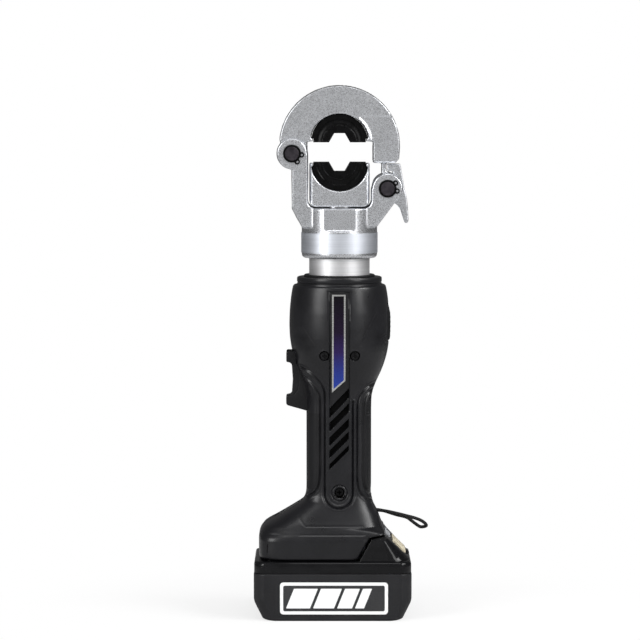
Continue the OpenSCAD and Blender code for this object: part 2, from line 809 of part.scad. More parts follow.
module rib(z, hole_r) {
    intersection() {
        ring(z, hole_r, barrel_r + 10, rib_t);
        union() {
            grip_solid(housing_wall - 0.5);
            barrel_solid(housing_wall - 0.5, z_nose - 4);
        }
    }
}
pad_z0 = z_grip + 6;
pad_h = 58;
function pad_top(side) = side < 0 ? trigger_low - 1 : pad_z0 + pad_h;
pad_front_x = -14.4;
pad_back_x = 17;
module pad_cut(gap, side) {
    x0 = side < 0 ? -grip_w : pad_back_x - gap;
    x1 = side < 0 ? pad_front_x + gap : grip_w;
    intersection() {
        difference() {
            grip_solid(-past);
            grip_solid(pad_t + gap);
        }
        box([x0, -grip_d, pad_z0 - gap], [x1, grip_d, pad_top(side) + gap]);
    }
}
module housing() {
    difference() {
        union() {
            difference() {
                union() {
                    barrel_solid(0, z_nose);
                    grip_solid(0);
                    foot_solid(0, z_foot);
                }
                barrel_solid(housing_wall, z_nose + past);
                grip_solid(housing_wall);
                foot_hollow();
            }
            for (z = ribs) rib(z, (z < z_ring ? motor_r : ring_gear_r) + run_gap);
            rib(pump_rib_z, pump_r + run_gap);
            // Bosses of the lower screw and of the two screws from the back
            intersection() {
                union() {
                    pin_y([0, -grip_d / 2, low_screw_z], low_boss_r, grip_d);
                    for (p = rear_screws) pin_y([p[0], -foot_w / 2, p[1]], rear_boss_r, foot_w);
                }
                union() {
                    grip_solid(0.5);
                    foot_solid(0.5, z_foot + past);
                }
            }
        }
        pack_way();
        // Mouth for the nose ring
        translate([0, 0, z_seat - 8]) cylinder(r = nose_r + slide_gap, h = 20);
        // Channel of the name plate, vents, and pockets of the pads
        channel_cut(channel_depth, channel_w, channel_top, channel_bottom);
        intersection() {
            vent_cut();
            box([-grip_w, -grip_d, z_grip], [grip_w, -motor_r - slide_gap, z_flare]);
        }
        for (side = [-1, 1]) pad_cut(0.02, side);
        // Trigger's slot and the release pad's window
        box([-barrel_r - 10, -trigger_w / 2 - trigger_slot_gap, trigger_low - trigger_slot_gap],
            [-grip_w / 2 + 6, trigger_w / 2 + trigger_slot_gap, trigger_top + trigger_slot_gap]);
        box([barrel_r - 12, -release_w / 2 - slide_gap, release_z - release_h / 2 - slide_gap],
            [barrel_r + 10, release_w / 2 + slide_gap, release_z + release_h / 2 + slide_gap]);
        // Screws
        for (s = [-1, 1]) {
            pin_y([s * screw_x, -barrel_r - 5, screw_z], screw_recess_r,
                barrel_r + 5 - screw_seat_y, $fn = 12);
            pin_y([s * screw_x, -barrel_r, screw_z], screw_r + 0.2, barrel_r - 10, $fn = 12);
        }
        pin_y([0, -grip_d, low_screw_z], screw_recess_r + 0.4, grip_d - low_seat_y);
        pin_y([0, -grip_d, low_screw_z], screw_r + 0.1, grip_d + 12);
        for (p = rear_screws) {
            pin_y([p[0], rear_seat_y, p[1]], screw_recess_r, foot_w);
            pin_y([p[0], -12, p[1]], screw_r + 0.1, foot_w);
        }
        // Pocket of the status panel, hole of the strap, pocket of the pack's tongue
        status_place() cube([status_l + 0.1, status_w + 0.1, 2 * status_t], center = true);
        pin_x([grip_w / 2 - 4, 0, strap_z], strap_hole_r, 20);
        box([tongue_pack_x - slide_gap, -button_w / 2 - slide_gap, wedge_bend_z],
            [tongue_pack_x + 4 + slide_gap, button_w / 2 + slide_gap, wedge_top + tongue_pack_h + slide_gap]);
    }
}
big = 400;
module housing_front() {
    color(c_black) intersection() {
        housing();
        box([-big, -big, 0], [big, 0, big]);
    }
}
module housing_back() {
    color(c_black) intersection() {
        housing();
        box([-big, 0, 0], [big, big, big]);
    }
}

// A screw along +Y with a domed, cross-slotted head
module screw(p, length) {
    translate(p) rotate([-90, 0, 0]) difference() {
        union() {
            cylinder(r = screw_r, h = length);
            translate([0, 0, -screw_head_h]) cylinder(r = screw_head_r, h = screw_head_h);
        }
        for (a = [0, 90]) rotate(a)
            translate([0, 0, -screw_head_h]) cube([0.8, 3.4, 2.4], center = true);
    }
}
module housing_screws() {
    color(c_oxide) {
        for (s = [-1, 1]) screw([s * screw_x, -screw_seat_y, screw_z], 12);
        screw([0, -low_seat_y, low_screw_z], 24);
        for (p = rear_screws)
            translate([p[0], 0, p[1]]) rotate([0, 0, 180]) screw([0, -rear_seat_y, 0], 34);
    }
}

// Nose ring and wiper round the tube
module nose_ring() {
    color(c_black) difference() {
        ring(z_seat, tube_r + 0.2, nose_r, z_wiper - z_seat);
        ring(z_seat + 3.2, nose_r - 0.5, nose_r + past, 0.7);
    }
}
module wiper_seal() {
    color(c_soft) ring(z_wiper, tube_r + 0.1, wiper_r, wiper_h);
}

// Name plate that follows the barrel down its channel, with a slanted lower end
plate_gap = 0.2;
function plate_floor(z) = -max(barrel_at(z), grip_d / 2) + channel_depth - plate_gap;
module name_plate() {
    steps = 16;
    bottom = plate_top - plate_l;
    levels = [for (i = [0 : steps]) bottom + plate_l * i / steps];
    color([0.25, 0.25, 0.45]) intersection() {
        along(plate_w) polygon(concat(
            [for (z = levels) [plate_floor(z), z]],
            [for (i = [steps : -1 : 0]) [plate_floor(levels[i]) - plate_t, levels[i]]]
        ));
        across(4 * barrel_r) polygon([
            [-plate_w, bottom - plate_slant / 2], [plate_w, bottom + 1.5 * plate_slant],
            [plate_w, plate_top + past], [-plate_w, plate_top + past]
        ]);
    }
}

// Soft pads let into the grip, flush with it
module pad(side) {
    intersection() {
        difference() {
            grip_solid(0);
            grip_solid(pad_t);
        }
        box([side < 0 ? -grip_w : pad_back_x, -grip_d, pad_z0],
            [side < 0 ? pad_front_x : grip_w, grip_d, pad_top(side)]);
    }
}
module grip_pads() {
    color(c_soft) for (side = [-1, 1]) pad(side);
}

// Pump block: the tube's socket above, the eccentric's chamber below, the plunger's bore at the back
plunger_head_y = cam_bearing_r + cam_throw + 0.3;
plunger_end = 24;
relief_r = 5;
relief_z = z_pump + 8;
release_pin_r = 2;
release_pin_z = z_cyl - 2.7;
release_pin_in = 12;
module pump_block() {
    color([0.66, 0.67, 0.68]) difference() {
        union() {
            translate([0, 0, z_pump]) cylinder(r = pump_r, h = pump_base_h);
            translate([0, 0, z_cyl - past])
                cylinder(r = tube_r + socket_wall, h = socket_depth + past);
        }
        translate([0, 0, z_cyl]) cylinder(r = tube_r + run_gap, h = socket_depth + past);
        ring(clip_z - 0.2, tube_r - past, tube_r + clip_w / 2 + 0.2, clip_h + 0.4);
        translate([0, 0, z_pump - past]) cylinder(r = chamber_r, h = cam_h + 3.5 + past);
        translate([0, 0, z_pump]) cylinder(r = cam_tip_r + run_gap, h = pump_base_h - 1.4);
        pin_y([0, 0, z_plunger], plunger_r + run_gap, plunger_end + 3);
        // Oil way from the plunger up to the cylinder
        translate([0, 13, z_plunger]) cylinder(r = 1.2, h = z_cyl - z_plunger + past);
        pin_x([-pump_r - past, 0, relief_z], relief_r + run_gap, pump_r + past - chamber_r - 2);
        pin_x([release_pin_in, 0, release_pin_z], release_pin_r + run_gap, pump_r);
    }
}
bladder_h = 0.75 * socket_depth;
module oil_bladder() {
    color([0.2, 0.2, 0.22]) difference() {
        ring(z_cyl + 1.5, tube_r + socket_wall + slide_gap, barrel_r - housing_wall - 1.8, bladder_h);
        box([0, -release_w, 0], [barrel_r, release_w, z_nose]);
    }
}
module relief_valve() {
    color(c_brass) {
        pin_x([-pump_r + 0.4, 0, relief_z], relief_r, pump_r - 0.4 - chamber_r - 3);
        pin_x([-pump_r - 1.6, 0, relief_z], relief_r - 1.4, 2);
    }
}
module pump_plunger() {
    color(c_steel) {
        pin_y([0, plunger_head_y, z_plunger], plunger_r + 1.2, 1.8);
        pin_y([0, plunger_head_y, z_plunger], plunger_r, plunger_end - plunger_head_y);
    }
}
module plunger_spring() {
    from = plunger_head_y + 1.8;
    color(c_steel) translate([0, from + 0.1, z_plunger]) rotate([-90, 0, 0])
        coil(plunger_r + 0.9, 0.4, chamber_r - from - 0.9, 3);
}

// Bearing plate between the gears and the pump, notched for the switch
switch_x0 = -24.4;
switch_l = 9.6;
switch_w = 10;
switch_h = 10.6;
switch_z = z_plate + 0.2;
module bearing_plate() {
    color([0.66, 0.67, 0.68]) difference() {
        translate([0, 0, z_plate]) cylinder(r = plate_r, h = plate_h);
        translate([0, 0, z_plate + 3]) cylinder(r = bearing_r + run_gap, h = plate_h);
        translate([0, 0, z_plate - past]) cylinder(r = cam_shaft_r + 1, h = plate_h);
        box([-pump_r - 1, -trigger_w / 2 - 1, z_plate - 1],
            [switch_x0 + switch_l + 0.4, trigger_w / 2 + 1, z_pump - 1]);
        for (s = [-1, 1]) pin_y([s * screw_x, -pump_r - 1, screw_z], screw_r + run_gap, 14);
    }
}
module main_bearing() {
    color(c_steel) ring(z_plate + 3, cam_shaft_r + run_gap, bearing_r, bearing_h);
}

// Planetary gears on the motor's shaft
module ring_gear() {
    color(c_steel) difference() {
        translate([0, 0, z_ring]) cylinder(r = ring_gear_r, h = ring_gear_h);
        translate([0, 0, z_ring - past]) linear_extrude(ring_gear_h + 2 * past)
            rotate(180 / ring_n)
                polygon(gear_outline(ring_n, ring_pitch + dedendum, ring_pitch - addendum, -backlash / 2));
    }
}
module planet_gear(i) {
    color(c_brass) rotate(360 * i / planet_count) translate([planet_circle, 0, z_gear])
        difference() {
            linear_extrude(gear_w) rotate(180 / planet_n)
                polygon(gear_outline(planet_n, planet_pitch + addendum, planet_pitch - dedendum,
                    backlash / 2));
            translate([0, 0, -past]) cylinder(r = planet_pin_r + run_gap, h = gear_w + 2 * past);
        }
}
module planet_gear_1() {
    planet_gear(0);
}
module planet_gear_2() {
    planet_gear(1);
}
module planet_gear_3() {
    planet_gear(2);
}
module sun_pinion() {
    color(c_steel) difference() {
        translate([0, 0, z_gear]) linear_extrude(gear_w)
            polygon(gear_outline(sun_n, sun_pitch + addendum, sun_pitch - dedendum, backlash / 2));
        translate([0, 0, z_gear - past]) cylinder(r = shaft_r + 0.01, h = gear_w + 2 * past);
    }
}
module planet_carrier() {
    color(c_steel) {
        translate([0, 0, z_carrier]) cylinder(r = carrier_r, h = carrier_h);
        for (i = [0 : planet_count - 1]) rotate(360 * i / planet_count)
            translate([planet_circle, 0, z_gear + 0.2])
                cylinder(r = planet_pin_r, h = z_carrier - z_gear + past);
    }
}
module cam_shaft() {
    color(c_steel) {
        base = z_carrier + carrier_h;
        translate([0, 0, base]) cylinder(r = cam_shaft_r, h = z_cam - base + 0.5);
        translate([0, cam_throw, z_cam]) cylinder(r = cam_lobe_r, h = cam_h);
        translate([0, 0, z_cam]) cylinder(r = cam_tip_r, h = z_cyl - 2 - z_cam);
    }
}
module cam_bearing() {
    color(c_steel) translate([0, cam_throw, 0])
        ring(z_cam + 0.2, cam_lobe_r + run_gap, cam_bearing_r, cam_h - 0.4);
}

// Motor: can, end cap and armature
can_wall = 2.4;
module motor_can() {
    color([0.3, 0.3, 0.32]) difference() {
        translate([0, 0, z_motor]) cylinder(r = motor_r, h = motor_l);
        translate([0, 0, z_motor - past]) cylinder(r = motor_r - can_wall, h = motor_l - 3 + past);
        translate([0, 0, z_motor]) cylinder(r = shaft_r + run_gap, h = motor_l + past);
    }
}
module motor_end_cap() {
    color(c_black) difference() {
        translate([0, 0, z_cap]) cylinder(r = motor_r - 0.4, h = motor_cap_h);
        translate([0, 0, z_cap + 1.5]) cylinder(r = shaft_r + run_gap, h = motor_cap_h);
    }
}
module armature() {
    color([0.55, 0.4, 0.3]) {
        translate([0, 0, z_cap + 1.7]) cylinder(r = shaft_r, h = z_gear + gear_w - z_cap - 1.7);
        translate([0, 0, z_motor + 14]) cylinder(r = motor_r - can_wall - 0.6, h = motor_l - 24);
        translate([0, 0, z_motor + 3]) cylinder(r = 6, h = 12);
    }
}

// Trigger with a scooped face, and its stem into the switch
trigger_x = -grip_w / 2 - 15.4;
trigger_lip = 8;
stem_r = 1.5;
trigger_inner_top = switch_x0 - 6.7;
trigger_inner = -max(ring_gear_r, motor_r) - trigger_travel - 0.4;
module trigger_outline() {
    scoop_top = trigger_top - trigger_lip;
    scoop_low = trigger_low + trigger_lip + 3;
    difference() {
        polygon([
            [trigger_x, trigger_top - 1.5], [trigger_x + 1.5, trigger_top], [trigger_inner_top, trigger_top],
            [trigger_inner_top, z_plate - 3.5], [trigger_inner, z_plate - 6.5],
            [trigger_inner, trigger_low + 0.6],
            [trigger_inner - 1, trigger_low], [trigger_x + 2, trigger_low + 3.6], [trigger_x, trigger_low + 6]
        ]);
        polygon([
            [trigger_x - past, scoop_top], [trigger_x + 3.2, scoop_top - 2.4],
            [trigger_x + 4, (scoop_top + scoop_low) / 2], [trigger_x + 3.2, scoop_low + 2.4],
            [trigger_x - past, scoop_low]
        ]);
    }
}
module trigger() {
    color(c_black) {
        across(trigger_w) trigger_outline();
        pin_x([trigger_inner_top - past, 0, switch_z + switch_h / 2], stem_r,
            switch_x0 - trigger_inner_top + past + 1.6);
    }
}
module trigger_switch() {
    color([0.2, 0.2, 0.22]) difference() {
        box([switch_x0, -switch_w / 2, switch_z], [switch_x0 + switch_l, switch_w / 2, switch_z + switch_h]);
        pin_x([switch_x0 - past, 0, switch_z + switch_h / 2], stem_r + run_gap, switch_l - 1);
    }
}
module trigger_spring() {
    color(c_steel) translate([trigger_inner_top + 0.15, 0, switch_z + switch_h / 2]) rotate([0, 90, 0])
        coil(2.8, 0.3, switch_x0 - trigger_inner_top - 0.3, 4);
}

// Release pad in the back of the barrel, with its pin into the pump block
lip_over = 1.5;
lip_r1 = barrel_at(release_z + release_h / 2 + lip_over) - housing_wall - slide_gap;
lip_r0 = lip_r1 - 1.3;
// Pocket in the button's back for the spring round its pin
pocket_r = release_pin_r + 1.5;
pocket_x1 = lip_r0 + 2.2;
module release_button() {
    color(c_black) {
        difference() {
            union() {
                intersection() {
                    ring(release_z - release_h / 2, lip_r0 + 0.4, barrel_r + release_proud, release_h);
                    box([0, -release_w / 2, 0], [barrel_r + 10, release_w / 2, z_nose]);
                }
                intersection() {
                    ring(release_z - release_h / 2 - lip_over, lip_r0, lip_r1, release_h + 2 * lip_over);
                    box([0, -release_w / 2 - lip_over, 0],
                        [barrel_r + 10, release_w / 2 + lip_over, z_nose]);
                }
            }
            pin_x([lip_r0 - past, 0, release_pin_z], pocket_r, pocket_x1 - lip_r0 + past);
        }
        pin_x([release_pin_in + release_travel + 1, 0, release_pin_z], release_pin_r,
            pocket_x1 - release_pin_in - release_travel);
    }
}
module release_spring() {
    color(c_steel) translate([pump_r + 0.1, 0, release_pin_z]) rotate([0, 90, 0])
        coil(release_pin_r + 0.8, 0.3, pocket_x1 - pump_r - 0.2, 3);
}

// Terminal block and board in the foot
block_x0 = deck_x0 + 4;
block_l = 32;
block_h = 7;
block_half = deck_w / 2 - 2.5;
block_z = deck_top + slide_gap;
flange_half = deck_w / 2 + 0.7;
flange_h = 2;
blade_x0 = block_x0 + 5;
blade_l = 13;
blade_t = 1;
blade_y = [-14, 0, 14];
blade_low = z_deck + 5.6;
board_t = 1.6;
module terminal_block() {
    color(c_black) difference() {
        union() {
            box([block_x0, -block_half, block_z], [block_x0 + block_l, block_half, block_z + block_h]);
            box([block_x0, -flange_half, block_z], [block_x0 + block_l, flange_half, block_z + flange_h]);
            for (x = [block_x0 + 4, block_x0 + block_l - 4], s = [-1, 1])
                translate([x, s * 14, block_z + block_h - past]) cylinder(r = 2, h = 2 + past);
        }
        for (y = blade_y)
            box([blade_x0 - 0.02, y - blade_t / 2 - 0.02, block_z - past],
                [blade_x0 + blade_l + 0.02, y + blade_t / 2 + 0.02, block_z + 5]);
    }
}
module terminal_blades() {
    color(c_brass) for (y = blade_y)
        box([blade_x0, y - blade_t / 2, blade_low], [blade_x0 + blade_l, y + blade_t / 2, block_z + 4.9]);
}
control_l = 43;
control_w = 36;
capacitor_r = 4;
capacitor_h = 6;
driver_l = 14;
driver_w = 14;
driver_h = 1.6;
module control_board() {
    z = block_z + block_h + 2;
    top = z + board_t - 0.2;
    color(c_board) {
        box([block_x0 + 1, -control_w / 2, z], [block_x0 + 1 + control_l, control_w / 2, z + board_t]);
        translate([block_x0 + block_l + capacitor_r, 8, top]) cylinder(r = capacitor_r, h = capacitor_h);
        translate([block_x0 + 12, -9, top]) cube([driver_l, driver_w, driver_h]);
    }
}

// Status panel on the foot's slope, which runs from the grip to touch the round of the shoulder
status_l = 24;
status_w = 15;
status_t = 1;
slope_from = [foot_top_inset - grip_w / 2, z_grip];
slope_arm = slope_from - foot_shoulder;
slope_turn = atan2(slope_arm[1], slope_arm[0]) + acos(foot_shoulder_r / norm(slope_arm));
slope_to = foot_shoulder + foot_shoulder_r * [cos(slope_turn), sin(slope_turn)];
status_mid = (slope_from + slope_to) / 2;
module status_place() {
    translate([status_mid[0], 0, status_mid[1]]) rotate([0, 90 - slope_turn, 0]) children();
}
module status_panel() {
    color(c_oxide) status_place()
        translate([0, 0, -0.45]) cube([status_l, status_w, status_t], center = true);
}

// Wrist strap: both ends are crimped in one ferrule behind the foot's back wall
strap_r = 1.2;
ferrule_l = 4.5;
// Way of the cord, its heights measured from the hole
strap_way = [
    [22, -1.3, 0], [28, -1.3, 0], [33, -1.3, -0.5], [39, -1.4, -1.7], [44, -1.9, -2.8],
    [49, -3.2, -3.9], [54, -4.6, -5], [58, -5, -6.4], [61, -4, -8.2], [62.8, -1.8, -10.2],
    [63.2, 0.8, -11.6], [62, 3.2, -12.6], [59, 4.8, -13], [55.5, 5, -10.8], [52.5, 4.4, -8.4],
    [49.6, 3.6, -6.2], [46, 2.6, -4.9], [42, 1.8, -3.9], [37, 1.4, -2.3], [33, 1.3, -1], [28, 1.3, 0],
    [22, 1.3, 0]
];
strap_route = [for (p = strap_way) [p[0], p[1], strap_z + p[2]]];
module strap_ferrule() {
    color(c_steel) pin_x([strap_way[0][0] - ferrule_l, 0, strap_z], strap_hole_r + 0.6, ferrule_l);
}
module wrist_strap() {
    color(c_oxide) swept_tube(strap_route, strap_r, 8, [0, 1, 0.2]);
}

// Battery pack
module pack_plan(inset) {
    round_square(battery_l - 2 * inset, battery_w - 2 * inset, battery_corner_r - inset);
}
module case_end_profile(inset) {
    l = battery_l / 2 - inset;
    polygon([
        [-l + end_bevel_l, inset], [l - end_bevel_l, inset], [l, end_bevel_h + inset],
        [l, battery_case_h + 20], [-l, battery_case_h + 20], [-l, end_bevel_h + inset]
    ]);
}
module case_form(inset, z0, z1) {
    translate([battery_mid, 0, 0]) intersection() {
        translate([0, 0, z0]) linear_extrude(z1 - z0) pack_plan(inset);
        across(2 * battery_w) case_end_profile(inset);
    }
}
module battery_case() {
    color(c_black) difference() {
        case_form(0, 0, battery_case_h);
        case_form(battery_wall, battery_wall, battery_case_h + past);
    }
}
slot_w = 4.4;
clip_x0 = blade_x0 - 1;
pack_board_z = z_deck + 1.5;
board_half = deck_neck_w / 2 - battery_wall - run_gap;
tongue_pack_x = wedge_crest - 7;
tongue_pack_h = 2.7;
button_w = 20;
button_low = wedge_top - 8.4;
button_x1 = wedge_crest + 4.2;
module wedge_outline() {
    polygon([
        [wedge_x0, z_deck - past], [wedge_x0, z_deck], [wedge_bend, wedge_bend_z],
        [wedge_crest - 0.6, wedge_top], [wedge_crest, wedge_top], [wedge_x1, z_deck],
        [wedge_x1, z_deck - past]
    ]);
}
module battery_cover() {
    color(c_black) difference() {
        union() {
            translate([battery_mid, 0, battery_case_h]) linear_extrude(battery_cover_h) pack_plan(0.3);
            box([deck_x0, -deck_neck_w / 2, z_deck - past], [wedge_x0 + 6, deck_neck_w / 2, deck_top]);
            box([deck_x0, -deck_w / 2, neck_top], [wedge_x0 + 6, deck_w / 2, deck_top]);
            across(wedge_w) wedge_outline();
        }
        translate([battery_mid, 0, battery_case_h - past])
            linear_extrude(battery_cover_h - battery_wall + past) pack_plan(battery_wall);
        box([deck_x0 + battery_wall, -deck_neck_w / 2 + battery_wall, cover_inner - past],
            [wedge_x0 - 2, deck_neck_w / 2 - battery_wall, deck_top - battery_wall]);
        for (y = blade_y)
            box([deck_x0 - past, y - slot_w / 2, blade_low - 2.2],
                [blade_x0 + blade_l + 3, y + slot_w / 2, deck_top + past]);
        // Well of the latch button, and the seats of the gauge and its button
        well = button_w / 2 + slide_gap;
        box([tongue_pack_x - slide_gap, -well, button_low - latch_button_travel - slide_gap],
            [button_x1 + slide_gap, well, wedge_top + 10]);
        slope_place(gauge_mid) cube([gauge_l + 0.1, gauge_w + 0.1, 2 * gauge_sink], center = true);
        slope_place(gauge_key_mid)
            cube([gauge_key_l + slide_gap, gauge_key_w + slide_gap,
                2 * (gauge_key_t - gauge_sink + gauge_travel)], center = true);
    }
}

// The wedge's outer face: a frame whose Z is square to it, at a distance down from the crest
module slope_place(s) {
    translate([wedge_crest, 0, wedge_top]) rotate([0, wedge_slope, 0]) translate([s, 0, 0]) children();
}
gauge_l = 12.8;
gauge_w = 30;
gauge_sink = 0.8;
gauge_t = 1.5;
gauge_mid = 14.2;
gauge_key_mid = 22.9;
gauge_key_l = 2.6;
gauge_key_w = 8;
gauge_key_t = 2;
module gauge_panel() {
    color(c_cream) slope_place(gauge_mid)
        translate([0, 0, gauge_t / 2 - gauge_sink]) cube([gauge_l, gauge_w, gauge_t], center = true);
}
module gauge_button() {
    color(c_oxide) slope_place(gauge_key_mid)
        translate([0, 0, gauge_t - gauge_sink - gauge_key_t / 2 + 0.3])
            cube([gauge_key_l, gauge_key_w, gauge_key_t], center = true);
}
module battery_button() {
    color([0.62, 0.63, 0.65]) across(button_w) polygon([
        [tongue_pack_x, button_low], [tongue_pack_x, wedge_top + tongue_pack_h],
        [tongue_pack_x + 2.6, wedge_top + tongue_pack_h], [tongue_pack_x + 4, wedge_top - 0.6],
        [wedge_crest, wedge_top + 0.3], [wedge_crest + 0.8, wedge_top + 0.6],
        [button_x1, wedge_top - 2.8], [button_x1, button_low]
    ]);
}
cells_per_layer = floor((battery_l - 2 * battery_wall - end_bevel_l) / cell_pitch);
cell_low = battery_wall + slide_gap + cell_d / 2;
cell_rise = cell_d + 0.6;
module cell_axes() {
    for (i = [0 : cells_per_layer - 1], j = [0, 1])
        translate([battery_mid + (i - (cells_per_layer - 1) / 2) * cell_pitch, 0, cell_low + j * cell_rise])
            rotate([90, 0, 0]) children();
}
module battery_cells() {
    color([0.2, 0.45, 0.6]) cell_axes() cylinder(r = cell_d / 2, h = cell_l, center = true);
}
module cell_holder() {
    half_l = (cells_per_layer * cell_pitch + 1.6) / 2;
    color([0.2, 0.2, 0.2]) difference() {
        intersection() {
            for (s = [-1, 1])
                box([battery_mid - half_l, s * (cell_l / 2 - 4) - 2.5, battery_wall + 0.1],
                    [battery_mid + half_l, s * (cell_l / 2 - 4) + 2.5, cover_inner - 0.2]);
            case_form(battery_wall + slide_gap, 0, cover_inner);
        }
        cell_axes() cylinder(r = cell_d / 2 + run_gap, h = cell_l + 10, center = true);
    }
}
module battery_board() {
    color(c_board)
        box([deck_x0 + battery_wall + slide_gap, -board_half, pack_board_z],
            [wedge_x0 - 6, board_half, pack_board_z + board_t]);
}
module battery_terminals() {
    color(c_brass) for (y = blade_y, s = [-1, 1])
        box([clip_x0, y + s * 1.25 - 0.35, pack_board_z + board_t],
            [blade_x0 + blade_l, y + s * 1.25 + 0.35, deck_top - 2.6]);
}

crimp_head();
collar_band();
cylinder_tube();
pivot_pins();
circlips();
swivel_clip();
return_spring();
flip_jaw();
upper_die();
ram_head();
piston();
piston_seal();
lower_die();
jaw_latch();
latch_spring();
housing_front();
housing_back();
housing_screws();
nose_ring();
wiper_seal();
name_plate();
grip_pads();
pump_block();
oil_bladder();
relief_valve();
pump_plunger();
plunger_spring();
bearing_plate();
main_bearing();
ring_gear();
motor_can();
motor_end_cap();
armature();
sun_pinion();
planet_carrier();
cam_shaft();
cam_bearing();
planet_gear_1();
planet_gear_2();
planet_gear_3();
trigger();
trigger_spring();
trigger_switch();
release_button();
release_spring();
control_board();
terminal_block();
terminal_blades();
status_panel();
strap_ferrule();
wrist_strap();
battery_case();
battery_cover();
battery_cells();
cell_holder();
battery_board();
battery_terminals();
battery_button();
gauge_panel();
gauge_button();
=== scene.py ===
"""Looks of a battery hydraulic crimping tool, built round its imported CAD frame."""

import json
import math

import bpy
import numpy as np
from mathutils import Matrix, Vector

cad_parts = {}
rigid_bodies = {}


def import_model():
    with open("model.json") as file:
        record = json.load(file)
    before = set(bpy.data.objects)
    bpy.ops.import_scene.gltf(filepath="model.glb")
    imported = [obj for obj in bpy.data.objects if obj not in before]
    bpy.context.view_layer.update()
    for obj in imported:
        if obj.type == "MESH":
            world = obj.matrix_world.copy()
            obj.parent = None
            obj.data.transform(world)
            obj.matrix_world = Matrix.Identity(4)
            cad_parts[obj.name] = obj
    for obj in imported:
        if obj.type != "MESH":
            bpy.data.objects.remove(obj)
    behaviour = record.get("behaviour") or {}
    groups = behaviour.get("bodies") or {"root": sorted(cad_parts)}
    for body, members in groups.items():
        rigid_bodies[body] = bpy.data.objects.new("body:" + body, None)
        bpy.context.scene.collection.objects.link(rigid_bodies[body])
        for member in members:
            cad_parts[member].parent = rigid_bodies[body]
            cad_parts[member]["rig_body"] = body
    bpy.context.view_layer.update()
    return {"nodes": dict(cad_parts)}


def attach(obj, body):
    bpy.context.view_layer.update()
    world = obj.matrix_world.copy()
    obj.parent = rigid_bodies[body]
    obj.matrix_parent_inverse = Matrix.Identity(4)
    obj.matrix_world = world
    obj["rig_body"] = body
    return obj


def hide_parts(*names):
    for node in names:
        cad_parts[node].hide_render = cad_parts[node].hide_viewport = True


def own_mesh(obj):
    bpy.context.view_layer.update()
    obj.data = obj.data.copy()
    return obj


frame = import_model()
MM = 0.001

# Camera, light and floor, in metres and watts

CAMERA_DISTANCE = 2.1
CAMERA_HEIGHT = 0.3766
CAMERA_LENS = 164
SENSOR_WIDTH = 36
AIM = Vector((-0.0140, 0.0, 0.2133))
# Place, aim, width and height, and power of each softbox
SOFTBOXES = {
    "key_left": ((-1.4, -1.2, 0.9), (0, 0, 0.2), (0.75, 1.4), 22),
    "fill_right": ((1.25, -1.1, 0.85), (0, 0, 0.2), (0.45, 1.2), 9),
    "high_right": ((1.25, -0.5, 1.15), (0, 0, 0.1), (0.55, 0.7), 13),
    "top": ((0.1, -0.85, 1.7), (0, 0, 0.2), (1.1, 0.5), 7),
}
# Strength of the surroundings: for plain light, and for gloss from the front and from behind
PLAIN_LIGHT = 0.42
GLOSS_FRONT, GLOSS_BACK = 0.43, 0.12
FLOOR_HALF = 0.7
FLOOR_PAPER, FLOOR_IN_GLOSS = (0.9, 0.9, 0.9), (0.45, 0.45, 0.45)
# The floor shows its shadows near the tool and is plain white from the second distance on
FLOOR_FADE = (0.07, 0.26)
FLOOR_NEAR_WHITE = 0.72


class Wire:
    """A socket in a node tree. Arithmetic on it adds Math nodes, and add() adds any other node."""

    def __init__(self, tree, socket=None):
        self.tree, self.socket = tree, socket

    def add(self, kind, settings=None, out=0, **sockets):
        node = self.tree.nodes.new("ShaderNode" + kind)
        for key, value in (settings or {}).items():
            if key == "stops":
                ramp = node.color_ramp
                while len(ramp.elements) < len(value):
                    ramp.elements.new(0.5)
                for element, (place, colour) in zip(ramp.elements, value):
                    element.position, element.color = place, colour
            else:
                setattr(node, key, value)
        for key, value in sockets.items():
            by_number = key[0] == "n" and key[1:].isdigit()
            socket = node.inputs[int(key[1:]) if by_number else key.replace("_", " ")]
            if isinstance(value, Wire):
                self.tree.links.new(value.socket, socket)
            else:
                socket.default_value = value
        return Wire(self.tree, node.outputs[out])

    def math(self, operation, a, b=0.0):
        return self.add("Math", {"operation": operation}, n0=a, n1=b)

    def __add__(self, other):
        return self.math("ADD", self, other)

    def __radd__(self, other):
        return self.math("ADD", other, self)

    def __sub__(self, other):
        return self.math("SUBTRACT", self, other)

    def __rsub__(self, other):
        return self.math("SUBTRACT", other, self)

    def __mul__(self, other):
        return self.math("MULTIPLY", self, other)

    def __rmul__(self, other):
        return self.math("MULTIPLY", other, self)

    def __truediv__(self, other):
        return self.math("DIVIDE", self, other)

    def __rtruediv__(self, other):
        return self.math("DIVIDE", other, self)

    def ramp(self, low, high, to_low=0.0, to_high=1.0):
        """A smooth step from to_low to to_high as the value goes from low to high."""
        return self.add("MapRange", {"interpolation_type": "SMOOTHSTEP"}, Value=self, From_Min=low,
                        From_Max=high, To_Min=to_low, To_Max=to_high)

    def tint(self, dark, light):
        """A colour between two, chosen by this value."""
        return self.add("Mix", {"data_type": "RGBA"}, out=2, n0=self, n6=(*dark, 1), n7=(*light, 1))

    def ray(self, kind):
        """1 for rays of one kind, such as Is Camera Ray, and 0 for the others."""
        return self.add("LightPath", out=kind)


def new_object(name, data):
    """An object with this data, in the scene."""
    made = bpy.data.objects.new(name, data)
    bpy.context.scene.collection.objects.link(made)
    return made


def aimed(name, data, place, aim):
    """A camera or a lamp at a place, pointed at another."""
    holder = new_object(name, data)
    holder.location = place
    holder.rotation_euler = (Vector(aim) - Vector(place)).to_track_quat("-Z", "Y").to_euler()
    return holder


